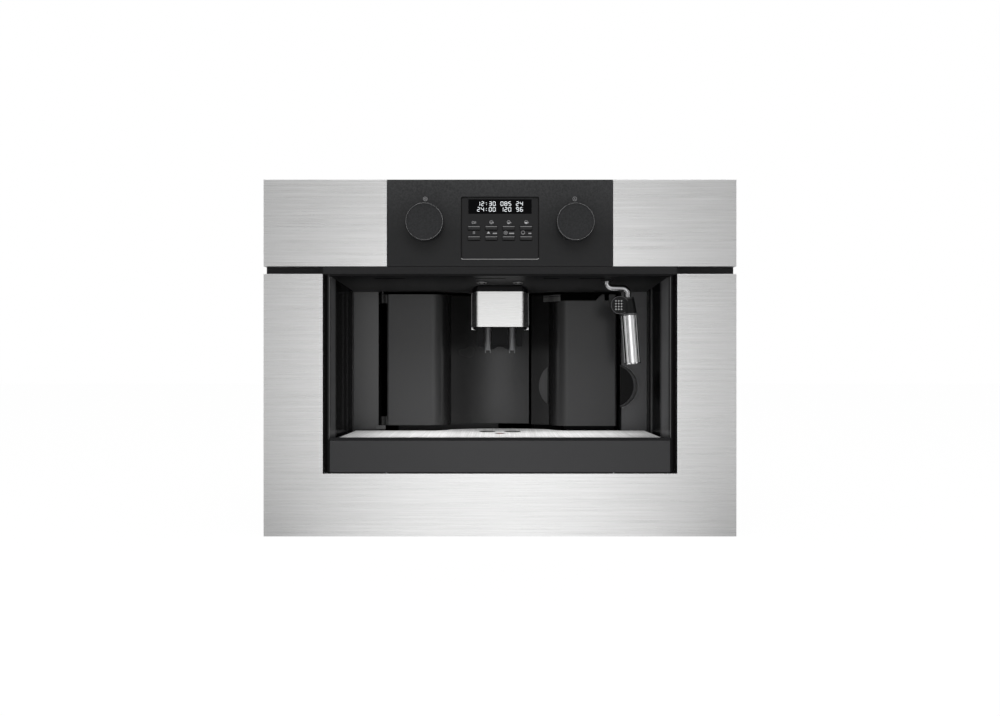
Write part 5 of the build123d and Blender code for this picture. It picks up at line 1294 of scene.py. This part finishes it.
# ------------------------------------------------------------------ sub-assemblies
@dataclass
class FrontSheets:
    """Brushed fascia sheets, the black frame behind them and its seal."""

    tick_x: float = 143 * MM
    cutout_bottom: float = 79 * MM

    def build(self) -> None:
        """Dress the sheets, then add the two joint marks and the foam seal."""
        dress(STEEL, "lower_fascia", "upper_fascia_left", "upper_fascia_right")
        dress(FRAME_BLACK, "front_frame")
        self.joint_marks()
        self.seal()

    def joint_marks(self) -> None:
        """Two small light grey marks where the cut-out's lower edge is folded."""
        outline = rounded(1.5 * MM, 2.0 * MM, 0.3 * MM, (0, 0), 2)
        tick = flat_profile("joint_mark", outline, 0.3 * MM)
        spots = ((-self.tick_x, 0.0, 0.0), (self.tick_x, 0.0, 0.0))
        place = (0.0, FRONT_Y + 0.1 * MM, self.cutout_bottom + 0.3 * MM)
        marks = Repeat("joint_marks", Layout.POINTS, place, points=spots)
        marks.place(tick, MARK_LIGHT, "machine", "steel")

    def seal(self) -> None:
        """Foam strip round the frame's rear edge, pressed on the cabinet."""
        rings = []
        for inset, depth in ((4, 0.0), (4, 1.6), (5, 2.0), (11, 2.0), (12, 1.6), (12, 0.0)):
            width, height = FRONT_WIDTH - 2 * inset * MM, FRONT_HEIGHT - 2 * inset * MM
            outline = rounded(width, height, 4 * MM, (0.0, FRONT_HEIGHT / 2))
            rings.append(upright(outline, depth * MM))
        looped("foam_seal", [rings], FOAM, "machine")


@dataclass
class Controls:
    """Panel, knobs, keys and display."""

    knob_x: float = 94 * MM
    knob_z: float = 394 * MM
    knob_radius: float = 23.3 * MM
    knob_front: float = -34.7 * MM
    mark_z: float = 424.6 * MM
    bezel_front: float = -18.5 * MM
    bezel_width: float = 97.3 * MM
    bezel_low: float = 349 * MM
    bezel_high: float = 427 * MM
    window_middle: float = 415.3 * MM
    window_front: float = -18.125 * MM
    key_pitch: float = 21.9 * MM
    key_rows: Flat = (388.7 * MM, 375.8 * MM)
    icon_rows: Flat = (395.2 * MM, 382.4 * MM)

    def build(self) -> None:
        """Dress the control panel's pieces and add its marks."""
        dress(PANEL_BLACK, "control_panel")
        dress(BEZEL_BLACK, "display_bezel")
        dress(WINDOW_BLACK, "display_window")
        dress(BOARD_GREEN, "control_board")
        dress(KNOB_BLACK, "knob_left", "knob_right")
        dress(KEY_CAP, *(f"key_{index}" for index in range(1, 9)))
        self.knob_rims()
        self.knob_marks()
        self.bezel_edge()
        self.key_shade_rims()
        self.key_marks()
        self.digits()

    def knob_rims(self) -> None:
        """Polished bead round each knob's face, lighter than the knob as a painted highlight on its
        rim; its gloss also reflects the lamps.
        """
        for sign, side in SIDES:
            centre = (sign * self.knob_x, self.knob_front + 0.42 * MM, self.knob_z)
            rings = bead(centre, self.knob_radius - 0.62 * MM, 0.34 * MM, 72)
            looped(f"{side}_knob_rim", [rings], KNOB_RIM_HIGHLIGHT, f"{side}_knob")

    def knob_marks(self) -> None:
        """Small ring marks over the knobs: one for power, one for steam."""
        drawing = Drawing(FRONT_Y)
        left, right, z = -self.knob_x, self.knob_x, self.mark_z
        drawing.circle(left, z, 2.5 * MM, 28)
        drawing.stroke((left, z + 0.2 * MM), (left, z + 1.6 * MM))
        drawing.arc((left, z), 1.2 * MM, 125, 415, 12)
        drawing.circle(right, z, 2.5 * MM, 28)
        for angle in (90, 210, 330):
            across, up = math.cos(math.radians(angle)), math.sin(math.radians(angle))
            drawing.stroke((right, z), (right + 1.5 * MM * across, z + 1.5 * MM * up))
        drawing.place("knob_marks", MARK_GREY)

    def bezel_edge(self) -> None:
        """Thin lip round the display's recess, painted near black as its shade, with a painted
        highlight at its lower edge.
        """
        middle, height = (self.bezel_low + self.bezel_high) / 2, self.bezel_high - self.bezel_low
        rings = []
        for grow, depth in ((-0.05, 0.9), (-0.05, -0.12), (0.2, -0.2), (0.45, -0.12), (0.45, 0.0)):
            extra = 2 * grow * MM
            outline = rounded(self.bezel_width + extra, height + extra, 2.2 * MM, (0.0, middle))
            rings.append(upright(outline, FRONT_Y + depth * MM))
        looped("bezel_edge", [rings], EDGE_LIP, "machine")

    def key_shade_rims(self) -> None:
        """Near black rims round the keys' openings, one per key, as painted shade in the gaps round
        the keys.
        """
        outline = rounded(15.6 * MM, 6.4 * MM, 0.8 * MM, (0.0, 0.0), 3)
        hole = rounded(14.7 * MM, 4.6 * MM, 0.3 * MM, (0.0, 0.5 * MM), 3)
        section = ((outline, 0.0), (outline, 0.06), (hole, 0.06), (hole, 0.0))
        rings = [level(points, height * MM) for points, height in section]
        for row, height in enumerate(self.key_rows):
            place = (0.0, self.bezel_front, height - 0.5 * MM)
            name = f"key_wells_{row + 1}"
            row_of = Repeat(name, Layout.GRID, place, WALL_TURN, 4, 1, self.key_pitch)
            rim = swept(f"{name}_rim", [rings], closed=True)
            row_of.place(rim, DEEP_BLACK, "machine", "bezel")

    def key_marks(self) -> None:
        """Plain generic marks over the keys: beans, cups, drops and short bars."""
        bright, dim, bars = (Drawing(self.bezel_front) for _ in range(3))
        columns = [(index - 1.5) * self.key_pitch for index in range(4)]
        top, low = self.icon_rows
        size = 5.0 * MM
        # first key: two beans
        for shift, radius in ((-1.1, 1.5), (1.5, 1.2)):
            middle = columns[0] + shift * MM
            dim.circle(middle, top, radius * MM, 16)
            dim.stroke((middle - 0.5 * MM, top - 0.8 * MM), (middle + 0.5 * MM, top + 0.8 * MM))
        # three cups that get fuller
        for column, share in zip(columns[1:], (0.25, 0.5, 0.85)):
            dim.circle(column, top + 0.3 * MM, size * 0.42, 20)
            bright.cup(column, top - 0.4 * MM, size * 0.8, share)
        # lower row: three lines, a wedge, a ringed dot and an underlined ring
        for step in range(-1, 2):
            rise = low + step * 1.1 * MM
            dim.stroke((columns[0] - 1.5 * MM, rise), (columns[0] + 1.5 * MM, rise))
        wedge, dot, drop = (column - 3.8 * MM for column in columns[1:])
        foot = low - 1.2 * MM
        tip = (wedge + 0.4 * MM, low + 1.5 * MM)
        bright.fill([(wedge - 2.0 * MM, foot), (wedge + 2.4 * MM, foot), tip])
        dim.circle(dot, low, 2.1 * MM, 20)
        dim.circle(dot, low, 0.8 * MM, 8)
        dim.circle(drop, low, 2.2 * MM, 20)
        dim.stroke((drop - 1.2 * MM, foot), (drop + 1.2 * MM, foot))
        # short bars right of the marks
        for column, start, end in zip(columns[1:], (1.9, 0.4, 3.0), (7.0, 6.8, 6.6)):
            corners = ((start, -1.6), (end, -1.6), (end, -0.2), (start, -0.2))
            bars.fill([(column + x * MM, low + z * MM) for x, z in corners])
        bright.place("key_marks_bright", MARK_LIGHT)
        dim.place("key_marks_dim", MARK_GREY)
        bars.place("key_bars", MARK_GREY)

    def digits(self) -> None:
        """Two rows of plain seven-segment numbers in the display."""
        half_width, half_height, step = 1.5 * MM, 2.5 * MM, 4.9 * MM
        lit, dots = [], []
        for row, text in ((3.6 * MM, "12:30 085 24"), (-3.5 * MM, "24:00 120 96")):
            start = -(len(text) - 1) * step / 2
            for index, letter in enumerate(text):
                x = start + index * step
                if letter == ":":
                    dots += [(x, row + rise * MM, 0.0) for rise in (-1.2, 1.2)]
                for name in SEGMENTS.get(letter, ""):
                    side, rise, angle = SEGMENT_PLACES[name]
                    across, up = x + side * half_width, row + rise * half_height
                    lit.append((across, up, math.radians(angle)))
        tip, flank, half = 1.2 * MM, 0.9 * MM, 0.32 * MM
        bar = [(-tip, 0), (-flank, -half), (flank, -half), (tip, 0), (flank, half), (-flank, half)]
        dot = rounded(0.8 * MM, 0.8 * MM, 0.2 * MM, (0, 0), 2)
        place = (0.0, self.window_front, self.window_middle)
        for name, points, outline in (("display_digits", lit, bar), ("display_dots", dots, dot)):
            profile = flat_profile(f"{name}_profile", outline, 0.1 * MM)
            shown = Repeat(name, Layout.POINTS, place, points=tuple(points))
            shown.place(profile, SEGMENT_WHITE, "machine", "display")


@dataclass
class Bay:
    """Walls and ceiling of the cup bay."""

    lamp_x: float = 23.8 * MM
    lamp_y: float = 22.7 * MM
    wall_edge: Flat = (214.9 * MM, -17.9 * MM)
    wall_span: Flat = (124.2 * MM, 326.5 * MM)
    ceiling_front: Flat = (-18 * MM, 328 * MM)
    ceiling_slope: float = -11 / 112

    def build(self) -> None:
        """Dress the bay and add the lamps' rings and studs."""
        dress(WALL_LEFT, "bay_side_left")
        dress(WALL_RIGHT, "bay_side_right")
        dress(CEILING_BLACK, "bay_ceiling")
        dress(PANEL_GREY, "bay_rear_left")
        dress(SCOOP_GREY, "bay_rear_right")
        dress(DOOR_GREY, "service_door")
        dress(TANK_GREY, "tank_cover")
        dress(LENS_GREY, "lamp_lenses")
        dress(BODY_BLACK, "hinge_pins")
        dress(DECK_BLACK, "inner_deck")
        self.lamp_rings()
        self.ceiling_slots()
        self.wall_edges()

    def wall_edges(self) -> None:
        """Rounded front edge of each bay wall, in a grey lighter than the wall as a painted
        highlight.
        """
        x, y = self.wall_edge
        for sign, side in SIDES:
            rings = [ring((sign * x, y, height), 0.45 * MM, 10) for height in self.wall_span]
            capped(f"wall_edge_{side}", [rings], RING_GREY, "machine")

    def under(self, points: Iterable[Flat], drop: float) -> Ring:
        """Lay an X-Y outline some millimetres below the sloping ceiling."""
        front_y, front_z = self.ceiling_front
        slope = self.ceiling_slope
        return [(x, y, front_z + slope * (y - front_y) - drop * MM) for x, y in points]

    def ceiling_slots(self) -> None:
        """Near black strips in a row just behind the ceiling's front edge, as painted shade in the
        slots there.
        """
        slots = []
        for low, high in ((-160, -121), (-32, 7), (56, 77), (102, 134)):
            corners = in_mm([(low, -3.2), (high, -3.2), (high, 0.2), (low, 0.2)])
            slots.append([self.under(corners, drop) for drop in (0.25, -0.2)])
        capped("ceiling_slots", slots, DEEP_BLACK, "machine")

    def turned(self, x: float, section: Iterable[Flat], count: int) -> list[Ring]:
        """Return rings round an upright axis at the lamps' depth, along the ceiling.

        Args:
            x: the axis's X.
            section: radii and drops in millimetres.
            count: points round.

        Returns:
            The rings.
        """
        rings = []
        for radius, drop in section:
            spread = circle(radius * MM, count)
            rings.append(self.under([(x + right, self.lamp_y + y) for right, y in spread], drop))
        return rings

    def lamp_rings(self) -> None:
        """Grey ring round each lamp with two dark studs on its lens."""
        rim = ((4.6, 0.6), (5.0, 1.5), (6.2, 1.5), (7.0, 0.9), (7.0, 0.2), (4.6, 0.2))
        stud = ((1.3, 0.0), (1.3, 1.4), (0.8, 1.9), (0.05, 2.0))
        for sign, side in SIDES:
            x = sign * self.lamp_x
            rings = self.turned(x, rim, 40)
            looped(f"lamp_ring_{side}", [rings], RING_GREY, "machine")
            studs = [self.turned(x + offset * MM, stud, 16) for offset in (-3.1, 3.1)]
            capped(f"lamp_studs_{side}", studs, DEEP_BLACK, "machine")


@dataclass
class Spout:
    """Coffee spout."""

    nozzle_x: float = 16.5 * MM
    nozzle_y: float = 67 * MM
    collar_z: float = 262.5 * MM
    edge_y: float = 66.2 * MM

    def build(self) -> None:
        """Dress the spout, then add the nozzles' collars and the cover's edges."""
        dress(SPOUT_BLACK, "spout_body")
        dress(STEEL_SPOUT, "spout_cover")
        dress(NOZZLE_GREY, "spout_nozzles")
        self.collars()
        self.edges()

    def collars(self) -> None:
        """Collar round each nozzle."""
        collars = []
        for sign, _ in SIDES:
            x, rings = sign * self.nozzle_x, []
            for radius, high in ((4.45, 0.0), (5.1, 0.3), (5.1, 3.2), (4.45, 3.5)):
                rings.append(ring((x, self.nozzle_y, self.collar_z + high * MM), radius * MM))
            collars.append(rings)
        looped("nozzle_collars", collars, NOZZLE_GREY, "spout")

    def edges(self) -> None:
        """Rolled rear edge of the steel cover at both sides, down to its hook."""
        path = in_mm([(38.6, 312.6), (38.6, 270.0), (38.0, 266.6), (36.0, 263.6), (33.4, 262.2)])
        for sign, side in SIDES:
            rings = [ring((sign * x, self.edge_y, z), 0.55 * MM, 12) for x, z in path]
            capped(f"cover_edge_{side}", [rings], TRIM_STEEL, "spout")


@dataclass
class Tray:
    """Drip tray, its front, the grille and the float."""

    grille_top: float = 124 * MM
    hole_x: float = 17.2 * MM
    hole_y: float = 67 * MM
    hole_radius: float = 10.5 * MM
    float_y: float = 37 * MM
    float_radius: float = 5.7 * MM

    def build(self) -> None:
        """Dress the tray and add the rolled rims of the grille's holes."""
        dress(TRAY_BLACK, "drip_tray")
        dress(TRAY_FACE, "tray_front")
        dress(STEEL_GRILLE, "cup_grille")
        dress(FLOAT_RED, "tray_float")
        # each rim's section: how far out of the hole and how high
        section = in_mm(
            ((-0.35, -1.2), (-0.35, 0.05), (0.1, 0.3), (0.7, 0.25), (1.1, 0.02), (0.4, -1.2))
        )
        holes = (
            (-self.hole_x, self.hole_y, self.hole_radius),
            (self.hole_x, self.hole_y, self.hole_radius),
            (0.0, self.float_y, self.float_radius),
        )
        rims = [
            [ring((x, y, self.grille_top + rise), radius + grow, 48) for grow, rise in section]
            for x, y, radius in holes
        ]
        looped("grille_hole_rims", rims, STEEL_SPOUT, "grille")


@dataclass
class SteamWand:
    """Steam wand with its rings and thumb pad."""

    pad: Point = (154.4 * MM, 2.0 * MM, 292.5 * MM)
    grip_axis: Point = (165.4 * MM, 10 * MM, 302.5 * MM)
    tilt: float = math.radians(4.2)

    def build(self) -> None:
        """Dress the wand and add its rings and the bead round the thumb pad."""
        dress(TUBE_CHROME, "wand_tube")
        dress(CHROME_BANDS, "wand_sleeve")
        dress(GRIP_BLACK, "wand_grip")
        foot = ((10.2, 20.6), (11.0, 20.9), (11.0, 22.4), (10.2, 22.7))
        end = ((9.0, 83.9), (10.5, 84.0), (10.6, 85.0), (9.9, 85.9), (8.4, 85.9), (8.4, 84.4))
        top = ((7.0, -0.6), (8.2, -0.4), (8.5, 0.6), (8.3, 1.8), (7.4, 1.8))
        self.collar("grip_foot_ring", foot, RIM_GREY)
        self.collar("sleeve_end_ring", end, CHROME)
        self.collar("grip_top_ring", top, BODY_BLACK)
        rings = bead(self.pad, 11.2 * MM, 0.35 * MM, 56)
        looped("pad_ring", [rings], RIM_GREY, "wand")

    def collar(self, name: str, section: Iterable[Flat], finish: Finish) -> None:
        """Add a collar round the wand's tilted axis.

        Args:
            name: the piece's name.
            section: radii and distances below the grip's top, in millimetres.
            finish: its finish.
        """
        sine, cosine = math.sin(self.tilt), math.cos(self.tilt)
        x, y, z = self.grip_axis
        rings = []
        for radius, distance in in_mm(section):
            middle_x, middle_z = x + distance * sine, z - distance * cosine
            rings.append([
                (middle_x + across * cosine, y + back, middle_z + across * sine)
                for across, back in circle(radius, 48)
            ])
        looped(name, [rings], finish, "wand")


@dataclass
class WaterTank:
    """Water tank and its lid."""

    rib_place: Point = (160 * MM, 150 * MM, 220 * MM)
    rib_pitch: float = 18 * MM

    def build(self) -> None:
        """Dress the tank, then add its latch tab and level ribs."""
        dress(TANK_CLEAR, "water_tank")
        dress(BODY_BLACK, "tank_lid")
        self.latch_tab()
        rib = flat_profile("level_rib", rounded(14 * MM, 1.2 * MM, 0.5 * MM, (0, 0), 3), 0.5 * MM)
        turn = (math.radians(90), 0.0, math.radians(90))
        points = tuple((0.0, step * self.rib_pitch, 0.0) for step in range(-3, 4))
        ribs = Repeat("tank_level_ribs", Layout.POINTS, self.rib_place, turn, points=points)
        ribs.place(rib, TANK_CLEAR, "tank", "clear")

    def latch_tab(self) -> None:
        """Grey grip tab that follows the cover's curve left of its notch, and a rib over it."""
        path = [
            (84.2, 88.6), (80.0, 91.1), (76.0, 94.1), (72.4, 98.1),
            (69.4, 103.2), (65.5, 105.9), (61.6, 107.6),
        ]
        solids = []
        for low, high, proud in ((303.9, 310.4, 0.9), (311.4, 312.8, 0.5)):
            rings = []
            for x, y in path:
                face, rear = y - proud, y + 0.2
                corners = in_mm([(face, low), (face, high), (rear, high), (rear, low)])
                rings.append([(x * MM, depth, height) for depth, height in corners])
            solids.append(rings)
        capped("tank_latch_tab", solids, RING_GREY, "tank")


@dataclass
class Case:
    """Sheet case, lids, slides and screws."""

    back: float = 394 * MM
    screw_middle: float = 224.5 * MM
    screw_pitch: Flat = (253 * MM, 389 * MM)
    rail_half: float = 277.7 * MM
    dial: Point = (-12 * MM, 230 * MM, 437 * MM)
    vent_span: Flat = (305 * MM, 385 * MM)

    def build(self) -> None:
        """Dress the case, then add what a look from behind and above shows."""
        dress(ZINC, "base_pan", "side_panel_left", "side_panel_right", "top_cover")
        dress(ZINC_REAR, "rear_panel")
        dress(RAIL_ZINC, "cabinet_rails", "middle_rails", "inner_rails")
        dress(BODY_BLACK, "hopper_lid", "funnel_lid", "grind_dial", "inlet_socket")
        dress(PIN_STEEL, "case_screws")
        self.vent_screens()
        self.screws()
        self.rivets()
        self.dial_marks()

    def vent_screens(self) -> None:
        """Black sheets inside the rear and side vent slots, as painted shade where the inside of
        the case shows.
        """
        shade_sheets = []
        rear, left_side = (-172.0, 391.6, 172.0, 392.3), (-263.3, 170.0, -262.7, 342.0)
        for left, front, right, back in (rear, left_side, (262.7, 170.0, 263.3, 342.0)):
            corners = in_mm([(left, front), (right, front), (right, back), (left, back)])
            shade_sheets.append([level(corners, height) for height in self.vent_span])
        capped("vent_screens", shade_sheets, DEEP_BLACK, "machine")

    def screws(self) -> None:
        """Pan-head screws on the rear panel, each with a dark cross on its head as painted shade in
        its cross recess.
        """
        dome = ((3.4, 0), (3.45, 0.5), (3.2, 1.2), (2.5, 1.7), (1.2, 1.95), (0.01, 2.0))
        cross = []
        for sign_x, sign_y in ((1, 1), (-1, 1), (-1, -1), (1, -1)):
            spans = ((1.7, 0.35), (0.35, 0.35), (0.35, 1.7))
            corner = [(across * sign_x, up * sign_y) for across, up in spans]
            cross += corner if sign_x * sign_y > 0 else corner[::-1]
        turn = (math.radians(90), 0.0, math.radians(180))
        for name, profile, finish, proud in (
            ("screw_heads", turned_profile("screw_head", in_mm(dome)), PIN_STEEL, 0.0),
            ("screw_recesses", flat_profile("recess", in_mm(cross), 0.06 * MM), BODY_BLACK, 1.95),
        ):
            place = (0.0, self.back + proud * MM, self.screw_middle)
            layout = Repeat(name, Layout.GRID, place, turn, 3, 2, *self.screw_pitch)
            layout.place(profile, finish, "machine", "pin_steel")

    def rivets(self) -> None:
        """Rivet heads along both cabinet slides' outer webs, clear of the screw holes."""
        dome = turned_profile("rivet", in_mm(((3.0, 0), (3.0, 0.25), (2.2, 0.7), (0.01, 0.9))), 20)
        for sign, side in SIDES:
            turn = (math.radians(90), 0.0, math.radians(90 * sign))
            place = (sign * self.rail_half, 195 * MM, 60 * MM)
            layout = Repeat(f"rail_rivets_{side}", Layout.GRID, place, turn, 5, 2, 66 * MM, 22 * MM)
            layout.place(dome, PIN_STEEL, "root_rails", "rail")

    def dial_marks(self) -> None:
        """Ring of short marks round the grind dial, and a raised line on it as its pointer."""
        tick = flat_profile("dial_tick", rounded(4.0 * MM, 0.7 * MM, 0.3 * MM, (0, 0), 2), 0.2 * MM)
        around = {"count": 24, "radius": 18.5 * MM}
        ticks = Repeat("dial_ticks", Layout.RING, self.dial, (0.0, 0.0, 0.0), **around)
        ticks.place(tick, BODY_BLACK, "machine", "black_plastic")
        x, y, top = self.dial
        line = rounded(1.2 * MM, 8.0 * MM, 0.5 * MM, (x, y - 7 * MM), 3)
        rings = [level(line, top + rise * MM) for rise in (6.2, 6.6)]
        capped("dial_pointer", [rings], MARK_LIGHT, "dial")


@dataclass
class Works:
    """Hopper, grinder, brew unit, boiler, pump and power board."""

    def build(self) -> None:
        """Dress the works."""
        dress(TANK_CLEAR, "bean_hopper")
        dress(BODY_BLACK, "grinder", "brew_unit", "grounds_container")
        dress(BOILER_STEEL, "boiler")
        dress(PUMP_GREY, "water_pump")
        dress(BOARD_GREEN, "power_board")


SUB_ASSEMBLIES = (
    FrontSheets, Controls, Bay, Spout, Tray, SteamWand, WaterTank, Case, Works,
)


# ------------------------------------------------------------------ all together
def main() -> None:
    """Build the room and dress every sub-assembly."""
    logging.basicConfig(level=logging.INFO, format="%(name)s: %(message)s")
    cad_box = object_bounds()
    Room().build()
    for part in SUB_ASSEMBLIES:
        part().build()
    sizes = {"cad": plain(cad_box), "visual": plain(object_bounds())}


def plain(value: object) -> object:
    """Return nested lists of plain numbers.

    Args:
        value: nested sequences, or a dict of them.

    Returns:
        The same values as lists of floats.
    """
    if isinstance(value, dict):
        return {key: plain(part) for key, part in value.items()}
    if isinstance(value, (int, float)):
        return float(value)
    return [plain(part) for part in value]


if __name__ == "__main__":
    main()
